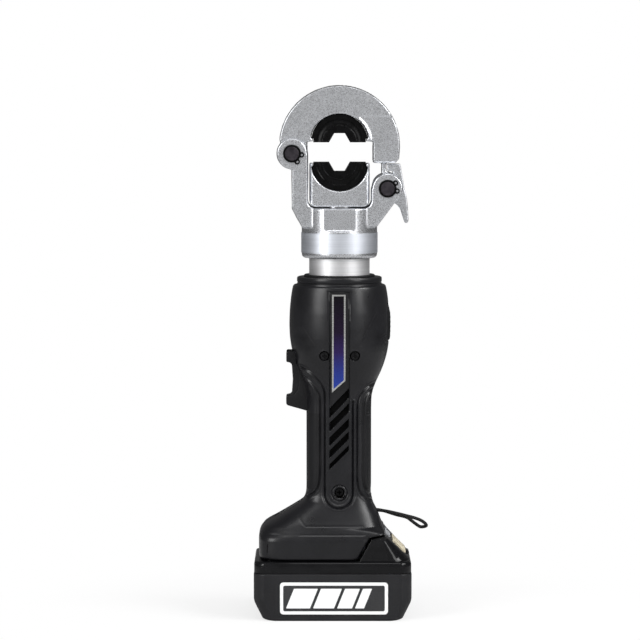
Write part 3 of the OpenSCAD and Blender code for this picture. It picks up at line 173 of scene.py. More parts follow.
def set_camera():
    camera = bpy.data.cameras.new("camera")
    camera.sensor_width, camera.lens = SENSOR_WIDTH, CAMERA_LENS
    camera.clip_start, camera.clip_end = 0.1, 50
    bpy.context.scene.camera = aimed("camera", camera, (AIM.x, -CAMERA_DISTANCE, CAMERA_HEIGHT), AIM)


def set_world():
    """White to the camera and through glass, and a dimmer room as light and in gloss."""
    scene = bpy.context.scene
    scene.view_settings.view_transform = "Standard"
    scene.world = bpy.data.worlds.new("studio")
    scene.world.use_nodes = True
    tree = scene.world.node_tree
    wire = Wire(tree)
    glossy = wire.ray("Is Glossy Ray")
    depth = wire.add("SeparateXYZ", out=1, Vector=wire.add("TexCoord", out="Generated"))
    around = depth.ramp(-1.0, 0.3, GLOSS_FRONT, GLOSS_BACK)
    seen = wire.math("MINIMUM", wire.ray("Is Camera Ray") + wire.ray("Is Transmission Ray"), 1.0)
    background = tree.nodes["Background"]
    background.inputs["Color"].default_value = (1, 1, 1, 1)
    feed(background, Strength=seen + (1 - seen) * (glossy * around + (1 - glossy) * PLAIN_LIGHT))


def set_lamps():
    for name, (place, aim, size, power) in SOFTBOXES.items():
        lamp = bpy.data.lights.new(name, "AREA")
        lamp.shape, lamp.size, lamp.size_y = "RECTANGLE", size[0], size[1]
        lamp.energy = power
        aimed(name, lamp, place, aim)


def set_floor():
    """Pale paper that keeps the tool's shadow and fades to white around it."""
    paper, wire, shader = new_finish("floor_paper", Roughness=0.9, Specular_IOR_Level=0.0)
    feed(shader, Base_Color=wire.ray("Is Glossy Ray").tint(FLOOR_PAPER, FLOOR_IN_GLOSS))
    glow = wire.add("Emission", Strength=1.0)
    far = wire.add("VectorMath", {"operation": "LENGTH"}, out=1, n0=wire.add("TexCoord", out="Object"))
    white = wire.ray("Is Camera Ray") * far.ramp(*FLOOR_FADE, FLOOR_NEAR_WHITE, 1.0)
    shown = wire.add("MixShader", n0=white, n1=Wire(wire.tree, shader.outputs[0]), n2=glow)
    feed(wire.tree.nodes["Material Output"], Surface=shown)
    sheet = bpy.data.meshes.new("floor")
    corners = [(sx * FLOOR_HALF, sy * FLOOR_HALF, 0) for sx, sy in ((-1, -1), (1, -1), (1, 1), (-1, 1))]
    sheet.from_pydata(corners, [], [(0, 1, 2, 3)])
    sheet.materials.append(paper)
    new_object("floor", sheet)


# Finishes


def new_finish(name, **constants):
    """A material, the start of its wiring, and its shader with the constants set."""
    made = bpy.data.materials.new(name)
    made.use_nodes = True
    shader = made.node_tree.nodes["Principled BSDF"]
    for key, value in constants.items():
        shader.inputs[key.replace("_", " ")].default_value = value
    return made, Wire(made.node_tree), shader


def feed(shader, **wires):
    for key, wire in wires.items():
        wire.tree.links.new(wire.socket, shader.inputs[key.replace("_", " ")])


def noise(wire, scale, detail=2.0, stretch=(1, 1, 1)):
    place = wire.add("TexCoord", out="Object")
    spread = wire.add("Mapping", Vector=place, Scale=stretch)
    return wire.add("TexNoise", Vector=spread, Scale=scale, Detail=detail, Roughness=0.6)


def height_of(wire):
    return wire.add("SeparateXYZ", out=2, Vector=wire.add("TexCoord", out="Object"))


def bump(wire, height, strength, distance):
    return wire.add("Bump", Height=height, Strength=strength, Distance=distance)


def cast_finish(name, dark, light, rough):
    """Blasted casting: fine sparkle over slow mottling, with slightly uneven gloss."""
    made, wire, shader = new_finish(name, Metallic=1.0)
    grain = noise(wire, 1500, 2)
    mottle = noise(wire, 150, 2)
    tone = grain.ramp(0.3, 0.7) * 0.85 + mottle.ramp(0.3, 0.7) * 0.15
    feed(shader, Base_Color=tone.tint(dark, light),
         Roughness=grain.ramp(0.25, 0.75, rough - 0.06, rough + 0.08),
         Normal=bump(wire, grain + noise(wire, 420, 2) * 0.5, 0.3, 0.00004))
    return made


def turned_finish(name, dark, light, rough):
    """Turned steel with faint rings round the axis."""
    made, wire, shader = new_finish(name, Metallic=1.0)
    rings = noise(wire, 700, 3, (0.02, 0.02, 6))
    feed(shader, Base_Color=rings.ramp(0.3, 0.7).tint(dark, light),
         Roughness=rings.ramp(0.2, 0.8, rough - 0.05, rough + 0.06),
         Normal=bump(wire, rings, 0.12, 0.00004))
    return made


def oxide_finish(name, dark, light, rough):
    """Black oxide on steel: nearly black with a dry sheen."""
    made, wire, shader = new_finish(name, Metallic=0.0, Specular_IOR_Level=0.13)
    cloud = noise(wire, 260, 3)
    feed(shader, Base_Color=cloud.ramp(0.3, 0.7).tint(dark, light),
         Roughness=cloud.ramp(0.2, 0.8, rough - 0.07, rough + 0.07),
         Normal=bump(wire, noise(wire, 1800, 2), 0.1, 0.00005))
    return made


def moulded_finish(name, dark, light, rough, grain_scale=1900, grain=0.22, level=0.4):
    """Moulded plastic with spark-eroded grain and slow changes of gloss."""
    made, wire, shader = new_finish(name, Specular_IOR_Level=level)
    fine = noise(wire, grain_scale, 2)
    slow = noise(wire, 45, 3)
    tone = fine.ramp(0.3, 0.7) * 0.5 + slow.ramp(0.3, 0.7) * 0.5
    feed(shader, Base_Color=tone.tint(dark, light),
         Roughness=slow.ramp(0.25, 0.75, rough - 0.05, rough + 0.05),
         Normal=bump(wire, fine, grain, 0.00006))
    return made


def gloss_finish(name, dark, light, rough):
    """Polished plastic with faint flow lines and handling marks."""
    made, wire, shader = new_finish(name, Specular_IOR_Level=0.24, Coat_Roughness=0.1)
    flow = noise(wire, 60, 4, (1, 1, 2.5))
    marks = noise(wire, 900, 3, (1, 1, 0.15))
    feed(shader, Base_Color=flow.ramp(0.3, 0.7).tint(dark, light),
         Roughness=marks.ramp(0.45, 0.75, rough, rough + 0.08),
         Coat_Weight=flow.ramp(0.2, 0.8, 0.02, 0.06), Normal=bump(wire, flow, 0.04, 0.0003))
    return made


def plate_finish(name, low=0.1625, tall=0.0715):
    """Printed plate: black at the top, violet below, blue at its lower end."""
    made, wire, shader = new_finish(name, Specular_IOR_Level=0.1)
    rise = (height_of(wire) - low) / tall
    print_tone = wire.add("ValToRGB", {"stops": [
        (0.0, (0.020, 0.050, 0.30, 1)), (0.2, (0.022, 0.036, 0.22, 1)), (0.42, (0.022, 0.012, 0.07, 1)),
        (0.62, (0.011, 0.006, 0.018, 1)), (1.0, (0.004, 0.0035, 0.0045, 1))]}, Fac=rise)
    speck = noise(wire, 1400, 2)
    feed(shader, Base_Color=print_tone, Roughness=speck.ramp(0.2, 0.8, 0.22, 0.36),
         Normal=bump(wire, speck, 0.05, 0.00004))
    return made


def braid_finish(name, dark, light):
    """Braided cord: crossing strands along its length."""
    made, wire, shader = new_finish(name, Specular_IOR_Level=0.25)
    strands = wire.add("TexWave", {"wave_type": "BANDS", "bands_direction": "DIAGONAL"},
                       Vector=wire.add("TexCoord", out="Object"), Scale=320.0, Distortion=1.5)
    fuzz = noise(wire, 3000, 2)
    feed(shader, Base_Color=strands.tint(dark, light), Roughness=fuzz.ramp(0.2, 0.8, 0.6, 0.8),
         Normal=bump(wire, strands + fuzz * 0.4, 0.5, 0.0003))
    return made


FINISH = {
    "cast": cast_finish("cast_metal", (0.56, 0.57, 0.59), (0.88, 0.895, 0.93), 0.30),
    "pin": oxide_finish("pin_end", (0.016, 0.014, 0.017), (0.035, 0.031, 0.036), 0.34),
    "screw": oxide_finish("screw_head", (0.005, 0.005, 0.0055), (0.012, 0.012, 0.013), 0.28),
    "oxide": oxide_finish("black_oxide", (0.001, 0.001, 0.001), (0.0025, 0.0025, 0.0028), 0.26),
    "steel": turned_finish("bright_steel", (0.52, 0.52, 0.53), (0.70, 0.70, 0.70), 0.30),
    "tube": turned_finish("cylinder_steel", (0.74, 0.74, 0.75), (0.86, 0.86, 0.87), 0.50),
    "band": turned_finish("collar_foil", (0.70, 0.73, 0.79), (0.82, 0.85, 0.91), 0.46),
    "housing": moulded_finish("housing_plastic", (0.0045, 0.0045, 0.0054), (0.0095, 0.0095, 0.0115), 0.31,
                              level=0.38),
    "soft": moulded_finish("soft_grip", (0.004, 0.004, 0.0048), (0.008, 0.008, 0.0094), 0.48,
                           1300, 0.3, 0.26),
    # Near-black finish: painted shade in the housing's vents and screw holes
    "dark": moulded_finish("painted_shade_plastic", (0.001, 0.001, 0.001), (0.002, 0.002, 0.002), 0.7, level=0.05),
    "pack": moulded_finish("pack_plastic", (0.009, 0.009, 0.0102), (0.015, 0.015, 0.017), 0.40, level=0.30),
    "panel": moulded_finish("pack_panel", (0.010, 0.010, 0.0112), (0.016, 0.016, 0.018), 0.48, level=0.28),
    "gloss": gloss_finish("gloss_black", (0.0025, 0.0025, 0.003), (0.005, 0.005, 0.0058), 0.13),
    "grey": moulded_finish("grey_plastic", (0.34, 0.35, 0.37), (0.44, 0.45, 0.47), 0.42),
    "cream": moulded_finish("cream_panel", (0.70, 0.62, 0.45), (0.82, 0.75, 0.58), 0.35, 900, 0.08),
    "plate": plate_finish("plate_print"),
    "border": turned_finish("plate_border", (0.62, 0.62, 0.61), (0.76, 0.76, 0.74), 0.26),
    "label_white": moulded_finish("label_white", (0.74, 0.74, 0.74), (0.84, 0.84, 0.84), 0.45, 800, 0.05),
    "label_dark": moulded_finish("label_dark", (0.020, 0.020, 0.022), (0.030, 0.030, 0.032), 0.45, 800, 0.05),
    "seal": moulded_finish("seal_rubber", (0.005, 0.005, 0.0055), (0.010, 0.010, 0.011), 0.5,
                           1500, 0.2, 0.25),
    "braid": braid_finish("strap_braid", (0.004, 0.004, 0.004), (0.016, 0.016, 0.017)),
    "block": cast_finish("machined_block", (0.52, 0.53, 0.54), (0.66, 0.67, 0.68), 0.40),
    "brass": turned_finish("brass_part", (0.55, 0.40, 0.16), (0.75, 0.58, 0.28), 0.30),
    "winding": turned_finish("wound_core", (0.35, 0.18, 0.08), (0.55, 0.32, 0.16), 0.40),
    "board": moulded_finish("circuit_board", (0.02, 0.12, 0.06), (0.04, 0.2, 0.1), 0.35, 700, 0.1),
    "cell": gloss_finish("cell_wrap", (0.03, 0.14, 0.28), (0.05, 0.2, 0.36), 0.3),
    "window": gloss_finish("status_window", (0.002, 0.002, 0.0025), (0.004, 0.004, 0.005), 0.12),
}

# Making meshes


def settle(piece, body, nodes=()):
    """Rides a piece on a body and hides the nodes that it stands for."""
    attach(piece, body)
    if nodes:
        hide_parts(*nodes)
    return piece


def to_piece(name, shape, finish, body, nodes=(), sharp=32.0):
    """A piece from points in millimetres and faces, shaded smooth up to an edge angle."""
    points, faces = shape
    mesh = bpy.data.meshes.new(name)
    mesh.from_pydata((np.asarray(points, float) * MM).tolist(), [], [list(f) for f in faces])
    mesh.validate()
    for polygon in mesh.polygons:
        polygon.use_smooth = polygon.loop_total <= 8
    mesh.set_sharp_from_angle(angle=math.radians(sharp))
    mesh.materials.append(FINISH[finish])
    return settle(new_object(name, mesh), body, nodes)


def evaluated_mesh(piece):
    """What a piece's modifiers make of its mesh."""
    return bpy.data.meshes.new_from_object(piece.evaluated_get(bpy.context.evaluated_depsgraph_get()))


def grid_faces(rows, columns, closed=True, first=0):
    """Quads between rings of points that follow each other."""
    r = np.arange(rows - 1)[:, None] * columns
    c = np.arange(columns if closed else columns - 1)[None, :]
    n = (c + 1) % columns
    quads = np.stack([r + c, r + n, r + columns + n, r + columns + c], -1).reshape(-1, 4) + first
    return quads.tolist()


def closed_loft(rings):
    """Points and faces of rings joined in order, with a flat face at each end."""
    rings = np.asarray(rings, float)
    rows, columns = rings.shape[:2]
    faces = grid_faces(rows, columns)
    faces.append(list(range(columns - 1, -1, -1)))
    faces.append(list(range((rows - 1) * columns, rows * columns)))
    return rings.reshape(-1, 3), faces


def closed_sheet(outer, inner):
    """Points and faces of two matching grids of points, joined round their rim."""
    rows, columns = outer.shape[:2]
    count = rows * columns
    index = np.arange(count).reshape(rows, columns)
    rim = np.concatenate([index[0], index[1:, -1], index[-1, -2::-1], index[-2:0:-1, 0]]).tolist()
    faces = grid_faces(rows, columns, closed=False)
    faces += [q[::-1] for q in grid_faces(rows, columns, closed=False, first=count)]
    faces += [[b, a, a + count, b + count] for a, b in zip(rim, rim[1:] + rim[:1])]
    return np.concatenate([outer.reshape(-1, 3), inner.reshape(-1, 3)]), faces


def turned_ring(profile, turns=160):
    """A turned ring: the profile is a closed loop of (radius, height) pairs."""
    angle = np.linspace(0, 2 * math.pi, turns, endpoint=False)
    across, deep = np.cos(angle), np.sin(angle)
    rings = np.array([np.stack([r * across, r * deep, np.full(turns, z)], 1) for r, z in profile])
    rows = len(rings)
    faces = grid_faces(rows, turns)
    last = (rows - 1) * turns
    faces += [[last + c, last + (c + 1) % turns, (c + 1) % turns, c] for c in range(turns)]
    return rings.reshape(-1, 3), faces


def rounded(outline, steps):
    """An outline of (x, z, corner radius) with each corner turned into an arc."""
    points = [np.array(p[:2], float) for p in outline]
    made = []
    for i, p in enumerate(points):
        a, b = points[i - 1] - p, points[(i + 1) % len(points)] - p
        la, lb = np.linalg.norm(a), np.linalg.norm(b)
        a, b = a / la, b / lb
        half = math.acos(max(-1.0, min(1.0, float(a @ b)))) / 2
        # An arc takes up less than half of the sides that it joins
        reach = min(outline[i][2] / math.tan(half), 0.49 * la, 0.49 * lb)
        r = reach * math.tan(half)
        centre = p + (a + b) / np.linalg.norm(a + b) * (r / math.sin(half))
        u, v = p + a * reach - centre, p + b * reach - centre
        turn = math.atan2(u[0] * v[1] - u[1] * v[0], float(u @ v))
        for t in np.linspace(0, turn, steps + 1):
            across, up = math.cos(t), math.sin(t)
            made.append(centre + np.array([u[0] * across - u[1] * up, u[0] * up + u[1] * across]))
    return np.array(made)


def curve_through(points, steps=8):
    """A smooth line through points."""
    p = np.array(points, float)
    p = np.vstack([2 * p[0] - p[1], p, 2 * p[-1] - p[-2]])
    made = []
    for a, b, c, d in zip(p[:-3], p[1:-2], p[2:-1], p[3:]):
        square, cube = 2 * a - 5 * b + 4 * c - d, 3 * b - a - 3 * c + d
        for t in np.linspace(0, 1, steps, endpoint=False):
            made.append(tuple(0.5 * (2 * b + (c - a) * t + square * t**2 + cube * t**3)))
    made.append(tuple(p[-2]))
    return made


def plate(outline, y0, y1, edge, steps=4):
    """A plate across Y from an outline in X and Z, its edges rounded by a radius."""
    ring = np.asarray(outline, float)
    area = np.sum(ring[:, 0] * np.roll(ring[:, 1], -1) - np.roll(ring[:, 0], -1) * ring[:, 1])
    if area < 0:
        ring = ring[::-1]
    ahead, behind = np.roll(ring, -1, 0) - ring, ring - np.roll(ring, 1, 0)
    ahead /= np.linalg.norm(ahead, axis=1)[:, None] + 1e-12
    behind /= np.linalg.norm(behind, axis=1)[:, None] + 1e-12
    inward = np.stack([-(ahead[:, 1] + behind[:, 1]), ahead[:, 0] + behind[:, 0]], 1)
    inward /= np.maximum(np.sum(inward * inward, 1) / 2, 0.35)[:, None]
    rings = []
    for side, level in ((1, y0), (-1, y1)):
        part = []
        for t in np.linspace(0, math.pi / 2, steps + 1):
            flat = ring + inward * (edge * (1 - math.cos(t)))
            depth = np.full(len(ring), level + side * edge * (1 - math.sin(t)))
            part.append(np.stack([flat[:, 0], depth, flat[:, 1]], 1))
        rings += part[::-1] if side > 0 else part
    points, faces = closed_loft(rings)
    return points, [f[::-1] for f in faces]


def rounded_box(low, high, edge):
    """A box with rounded edges across Y."""
    corners = ((low[0], low[2]), (high[0], low[2]), (high[0], high[2]), (low[0], high[2]))
    return plate(rounded([(*corner, edge) for corner in corners], 3), low[1], high[1], edge, 3)


# Wrist strap, in millimetres like all pieces below

STRAP_HOLE_Z = 75.0
STRAP_ROUTE = [(x, y, STRAP_HOLE_Z + rise) for x, y, rise in (
    (22, -1.3, 0), (28, -1.3, 0), (33, -1.3, -0.5), (39, -1.4, -1.7), (44, -1.9, -2.8),
    (49, -3.2, -3.9), (54, -4.6, -5),
    (58, -5, -6.4), (61, -4, -8.2), (62.8, -1.8, -10.2), (63.2, 0.8, -11.6), (62, 3.2, -12.6), (59, 4.8, -13),
    (55.5, 5, -10.8), (52.5, 4.4, -8.4), (49.6, 3.6, -6.2), (46, 2.6, -4.9), (42, 1.8, -3.9), (37, 1.4, -2.3),
    (33, 1.3, -1), (28, 1.3, 0), (22, 1.3, 0))]
STRAP_RADIUS = 1.2


def make_strap():
    line = bpy.data.curves.new("wrist_strap_cord", "CURVE")
    line.dimensions = "3D"
    line.bevel_depth, line.bevel_resolution, line.use_fill_caps = STRAP_RADIUS * MM, 4, True
    line.materials.append(FINISH["braid"])
    route = np.array(curve_through(STRAP_ROUTE, 5)) * MM
    spline = line.splines.new("POLY")
    spline.points.add(len(route) - 1)
    for point, place in zip(spline.points, route):
        point.co = (*place, 1)
    piece = settle(new_object("wrist_strap_cord", line), "handle", ("wrist_strap",))


set_camera()
make_strap()
set_world()
set_lamps()
set_floor()

# Housing

# Height, left edge, right edge, half depth and squareness of the moulded housing
HOUSING_SECTIONS = np.array([
    (43.2, -57.0, 13.0, 33.0, 4.6), (44.0, -57.8, 13.6, 33.8, 4.6), (46.0, -58.1, 14.8, 34.0, 4.6),
    (52.0, -58.2, 18.2, 34.0, 4.6), (56.6, -58.2, 20.9, 34.0, 4.6), (57.8, -58.1, 21.7, 33.7, 4.6),
    (58.8, -58.0, 22.6, 33.3, 4.6), (59.6, -57.8, 25.0, 33.0, 4.5), (60.5, -57.6, 30.4, 32.6, 4.5),
    (61.1, -57.3, 32.2, 32.3, 4.4), (61.9, -57.0, 32.6, 31.9, 4.4), (64.0, -55.6, 31.6, 30.9, 4.2),
    (66.1, -53.9, 30.8, 29.9, 4.1), (68.3, -50.6, 30.0, 28.9, 4.0), (70.5, -46.6, 29.2, 27.8, 3.9),
    (74.9, -39.2, 27.5, 25.8, 3.7), (79.3, -32.0, 25.2, 23.9, 3.6), (82.0, -27.9, 24.2, 22.8, 3.5),
    (83.7, -26.0, 23.8, 22.2, 3.4), (86.0, -24.8, 23.3, 21.6, 3.3), (88.1, -24.2, 22.9, 21.2, 3.2),
    (91.0, -23.9, 22.8, 21.0, 3.2), (95.3, -23.8, 23.0, 21.0, 3.1), (146.0, -23.8, 23.0, 21.0, 3.1),
    (154.1, -23.8, 23.1, 21.1, 3.0), (158.1, -23.9, 23.3, 21.4, 2.9), (162.5, -24.4, 24.1, 22.2, 2.75),
    (166.8, -25.6, 25.6, 23.6, 2.5), (171.2, -27.4, 27.5, 25.5, 2.3), (175.6, -29.4, 29.6, 27.8, 2.15),
    (179.9, -31.2, 31.4, 30.1, 2.06), (184.3, -32.4, 32.9, 31.9, 2.02), (188.6, -33.4, 34.1, 33.4, 2.0),
    (193.0, -34.4, 35.0, 34.5, 2.0), (197.5, -35.2, 35.6, 35.2, 2.0), (202.5, -35.8, 35.8, 35.8, 2.0),
    (210.6, -36.1, 36.0, 36.0, 2.0), (218.6, -35.9, 35.9, 35.9, 2.0), (227.7, -35.2, 35.2, 35.2, 2.0),
    (233.7, -34.4, 34.4, 34.4, 2.0), (237.3, -33.7, 33.7, 33.7, 2.0), (238.5, -33.3, 33.3, 33.3, 2.0),
    (239.2, -32.5, 32.5, 32.5, 2.0),
])
LEFT, RIGHT, DEPTH, SQUARE = 1, 2, 3, 4
# Points round each ring of the skin, and the angle from which its edges are sharp
SKIN_COLUMNS = 440
SKIN_SHARP = 50
# The front's own relief lies this far before the parting plane, and the back's behind it
FACE_START = 6.0
# A point further than this from the middle belongs to the left or the right side
SIDE_START = 10.0
DEEPEST_RELIEF = 3.2
# Inner edge, lowest and highest point of the soft grip on each side
LEFT_GRIP, RIGHT_GRIP = (-14.4, 92, 147), (17.6, 92, 155)
# Below this height the foot's right end, beside the pack's wedge, is nearly square, and it eases to that
SQUARE_TOP, SQUARE_EASE, SQUARE_GAIN = 66.0, 5.0, 12.0
# The mouth under the nose ring: its share of the skin's width at the lip and inside, and its depth
MOUTH_LIP, MOUTH_INSIDE, MOUTH_DEPTH = 0.957, 0.953, 3.0
BARREL_SCREWS = [(-10.9, 190.0), (10.9, 190.0)]
LOW_SCREW = (0.0, 90.2)
REAR_SCREWS = [(-50.6, 61.2), (10.0, 63.2)]
# Height of each slanting vent's lower left corner, and how tall the vent is
VENTS = [(144.5, 6.7), (134.6, 6.1), (124.1, 6.0), (115.2, 5.5), (107.0, 3.8)]
VENT_X = (-7.3, 6.6)
VENT_DEPTH = 2.6
# Middle and slope of the status window on the foot's shoulder
WINDOW_PLACE = (-37.0, 76.2)
WINDOW_TILT = math.radians(31.6)
# Half width, lowest and highest point, and floor of the trigger's slot and of the release pad's window
TRIGGER_SLOT = (9.85, 147.4, 191.9, -17.4)
PAD_WINDOW = (8.85, 198.2, 226.0, 29.4)
STRAP_HOLE_RADIUS, STRAP_HOLE_DEPTH = 2.9, 3.0
# Ends of the creases where the barrel is waisted for the hand, and the side that is sunk
CREASES = [((-26.1, 210.6), (-16.2, 195.4), -1), ((27.3, 222.8), (14.6, 198.8), 1)]
# Low and high corners of the spaces under the foot for the pack's deck and rails
SLIDE_CHANNEL = [((-52.0, -26.8, 36.0), (60.0, 26.8, 54.3)), ((-52.0, -30.3, 48.2), (60.0, 30.3, 54.3))]


def eased(keys, values, at):
    """Smooth interpolation without overshoot through sorted keys."""
    step, rise = np.diff(keys), np.diff(values)
    slope = rise / step
    tangent = np.zeros(len(keys))
    same = slope[:-1] * slope[1:] > 0
    tangent[1:-1][same] = 2 * slope[:-1][same] * slope[1:][same] / (slope[:-1] + slope[1:])[same]
    tangent[0], tangent[-1] = slope[0], slope[-1]
    i = np.clip(np.searchsorted(keys, at) - 1, 0, len(keys) - 2)
    t = (at - keys[i]) / step[i]
    return ((2 * t**3 - 3 * t**2 + 1) * values[i] + (t**3 - 2 * t**2 + t) * step[i] * tangent[i]
            + (3 * t**2 - 2 * t**3) * values[i + 1] + (t**3 - t**2) * step[i] * tangent[i + 1])


def section(column, z):
    """A column of the housing's sections at a height."""
    return eased(HOUSING_SECTIONS[:, 0], HOUSING_SECTIONS[:, column], z)


def smooth_step(value, low, high):
    t = np.clip((value - low) / (high - low), 0, 1)
    return t * t * (3 - 2 * t)


def hump(value, middle, half):
    """A round-topped rise of 1 at the middle, down to 0 at half a width from it."""
    return np.clip(1 - ((value - middle) / half)**2, 0, 1)


def distance_to(line, x, z):
    """Distance of points to a polyline in X and Z."""
    best = np.full(x.shape, 1e9)
    for (ax, az), (bx, bz) in zip(line[:-1], line[1:]):
        ux, uz = bx - ax, bz - az
        t = np.clip(((x - ax) * ux + (z - az) * uz) / (ux * ux + uz * uz + 1e-9), 0, 1)
        best = np.minimum(best, np.hypot(x - ax - t * ux, z - az - t * uz))
    return best


def arc(cx, cz, r, start, stop, count):
    turns = np.radians(np.linspace(start, stop, count))
    return [(cx + r * math.cos(a), cz + r * math.sin(a)) for a in turns]


def groove(line, x, z, half, depth):
    return -depth * hump(distance_to(line, x, z), 0, half)


def beaded_groove(line, x, z, depth):
    """A groove with a low ridge on both sides."""
    off = distance_to(line, x, z)
    return 0.3 * hump(off, 1.5, 0.8) - depth * hump(off, 0, 0.8)


PANEL_SHOULDER = curve_through([(-27.7, 180.7), (-23.3, 178.8), (-18.6, 175.3), (-14.0, 170.2),
                                (-11.0, 163.4), (-10.6, 154.8)])
PANEL_END = [(-10.6, 89.5)] + arc(-0.5, 89.5, 10.1, 180, 360, 24) + [(9.6, 89.5), (9.6, 156.0)]
# The back repeats the panel without the upper part of its shoulder
BACK_SHOULDER_START = 30
LEFT_LINE = curve_through([(-25.5, 173.9), (-21.2, 170.6), (-16.9, 165.2), (-14.4, 159.5), (-14.1, 150.1),
                           (-14.1, 128.5), (-14.1, 106.8), (-14.9, 96.6), (-17.6, 90.8), (-22.6, 86.9)])
RIGHT_LINES = [
    curve_through([(26.2, 168.7), (21.1, 166.9), (16.1, 162.3), (13.4, 155.8), (13.0, 147.1), (13.0, 121.1),
                   (13.0, 99.4), (14.5, 91.4), (18.4, 86.4), (22.7, 84.2)]),
    curve_through([(25.1, 165.2), (21.6, 163.0), (18.8, 159.1), (17.3, 153.3), (17.1, 145.3), (17.1, 120.7),
                   (17.1, 101.9), (18.1, 94.6), (20.9, 89.6), (23.8, 87.4)]),
    curve_through([(23.8, 160.8), (22.0, 158.3), (20.8, 154.3), (20.6, 147.8)]),
]
STRIP_LINE = curve_through([(-29.7, 74.3), (-28.0, 71.4), (-26.2, 68.9), (-24.0, 67.1)])
STRIP_LINE += [(16.8, 67.1), (18.2, 61.3), (-28.3, 61.3)]


def in_vent(low, tall, x, z):
    """How far inside a slanting vent points lie, from 0 to 1."""
    rise = z - low - (x - VENT_X[0])
    across = smooth_step(x, VENT_X[0] - 0.05, VENT_X[0] + 0.3) * smooth_step(VENT_X[1] + 0.1 - x, 0.0, 0.35)
    return smooth_step(rise, 0.0, 0.45) * smooth_step(tall - rise, 0.0, 0.45) * across


def plate_channel(x, z):
    """Channel of the name plate, with shallow shoulders beside its upper end."""
    off = np.abs(x + 0.1)
    wall = smooth_step(7.45 - off, 0.0, 0.55)
    run = smooth_step(z, 146.5, 154.5) * smooth_step(236.3 - z, 0.0, 0.6)
    upper = smooth_step(z, 215.4, 216.2) * smooth_step(236.9 - z, 0.0, 0.5)
    return -1.6 * wall * run - 0.35 * smooth_step(8.4 - off, 0.0, 0.5) * upper * (1 - wall)


def vent_panel(x, z):
    """Outline of the grip's panel, and its slanting vents with a low lip under each."""
    h = beaded_groove(PANEL_SHOULDER + PANEL_END, x, z, 1.3)
    across = smooth_step(x, -7.6, -7.0) * smooth_step(7.0 - x, 0.0, 0.6)
    for low, tall in VENTS:
        rise = z - low - (x - VENT_X[0])
        h += 0.18 * hump(rise, -0.5, 0.6) * across - VENT_DEPTH * in_vent(low, tall, x, z)
    return h


def screw_holes(x, z):
    """The lower screw's boss with two key notches in its hole, and the barrel's two holes with their lips."""
    r = np.hypot(x - LOW_SCREW[0], z - LOW_SCREW[1])
    turn = np.degrees(np.arctan2(z - LOW_SCREW[1], x - LOW_SCREW[0]))
    notch = (np.abs(turn + 40) < 14) | (np.abs(turn + 140) < 14)
    h = 0.35 * hump(r, 4.6, 0.8) - 0.6 * hump(r, 5.6, 0.55)
    h -= 5.6 * smooth_step(np.where(notch, 4.7, 3.65) - r, 0.0, 0.3)
    for sx, sz in BARREL_SCREWS:
        r = np.hypot(x - sx, z - sz)
        h += 0.16 * hump(r, 4.0, 0.55) - 3.2 * smooth_step(3.55 - r, 0.0, 0.4)
    return h


def barrel_creases(x, z):
    """Hollows that start sharply at a crease and run out away from it."""
    h = np.zeros(x.shape)
    for (ax, az), (bx, bz), side in CREASES:
        ux, uz = bx - ax, bz - az
        size = math.hypot(ux, uz)
        along = ((x - ax) * ux + (z - az) * uz) / size
        off = ((x - ax) * uz - (z - az) * ux) / size * -side
        fade = smooth_step(along, -2.0, 6.0) * smooth_step(size + 3.0 - along, 0.0, 9.0)
        h -= 0.55 * smooth_step(off, -0.8, 1.4) * smooth_step(14.0 - off, 0.0, 12.0) * fade
    return h


def front_relief(x, z):
    """Height of the front's own relief over the plain skin, with the bare strip's outline on the foot."""
    h = np.maximum(plate_channel(x, z) + vent_panel(x, z), -DEEPEST_RELIEF)
    return h + screw_holes(x, z) + barrel_creases(x, z) + groove(STRIP_LINE, x, z, 0.55, 0.22)


def back_relief(x, z):
    h = groove(PANEL_SHOULDER[BACK_SHOULDER_START:] + PANEL_END, x, z, 0.75, 1.0)
    for sx, sz in REAR_SCREWS:
        h -= 6.0 * smooth_step(3.5 - np.hypot(x - sx, z - sz), 0.0, 0.4)
    return h


def shared_relief(x, z):
    """Grooves that both halves have beside the pads."""
    h = beaded_groove(LEFT_LINE, x, z, 1.1)
    for line, depth in zip(RIGHT_LINES, (1.1, 1.0, 0.7)):
        h += beaded_groove(line, x, z, depth)
    return h


def housing_relief(x, y, z):
    """Height of all relief over the plain skin."""
    h = shared_relief(x, z) * smooth_step(np.abs(y), 5.0, 10.0)
    h += np.where(y < -FACE_START, front_relief(x, z), 0) + np.where(y > FACE_START, back_relief(x, z), 0)
    # The skin is plain beside the trigger's slot
    beside = (x < -SIDE_START) * smooth_step(13.0 - np.abs(y), 0.0, 2.0)
    h *= 1 - beside * smooth_step(z, 142.0, 146.0) * smooth_step(196.0 - z, 0.0, 3.0)
    # Parting line between the halves, and the status panel's pocket on the slope
    h -= 0.35 * hump(y, 0, 0.45)
    along = (x - WINDOW_PLACE[0]) * math.cos(WINDOW_TILT) + (z - WINDOW_PLACE[1]) * math.sin(WINDOW_TILT)
    pocket = smooth_step(12.2 - np.abs(along), 0.0, 0.3) * smooth_step(7.7 - np.abs(y), 0.0, 0.4)
    return h - 0.9 * pocket * (x < -20)


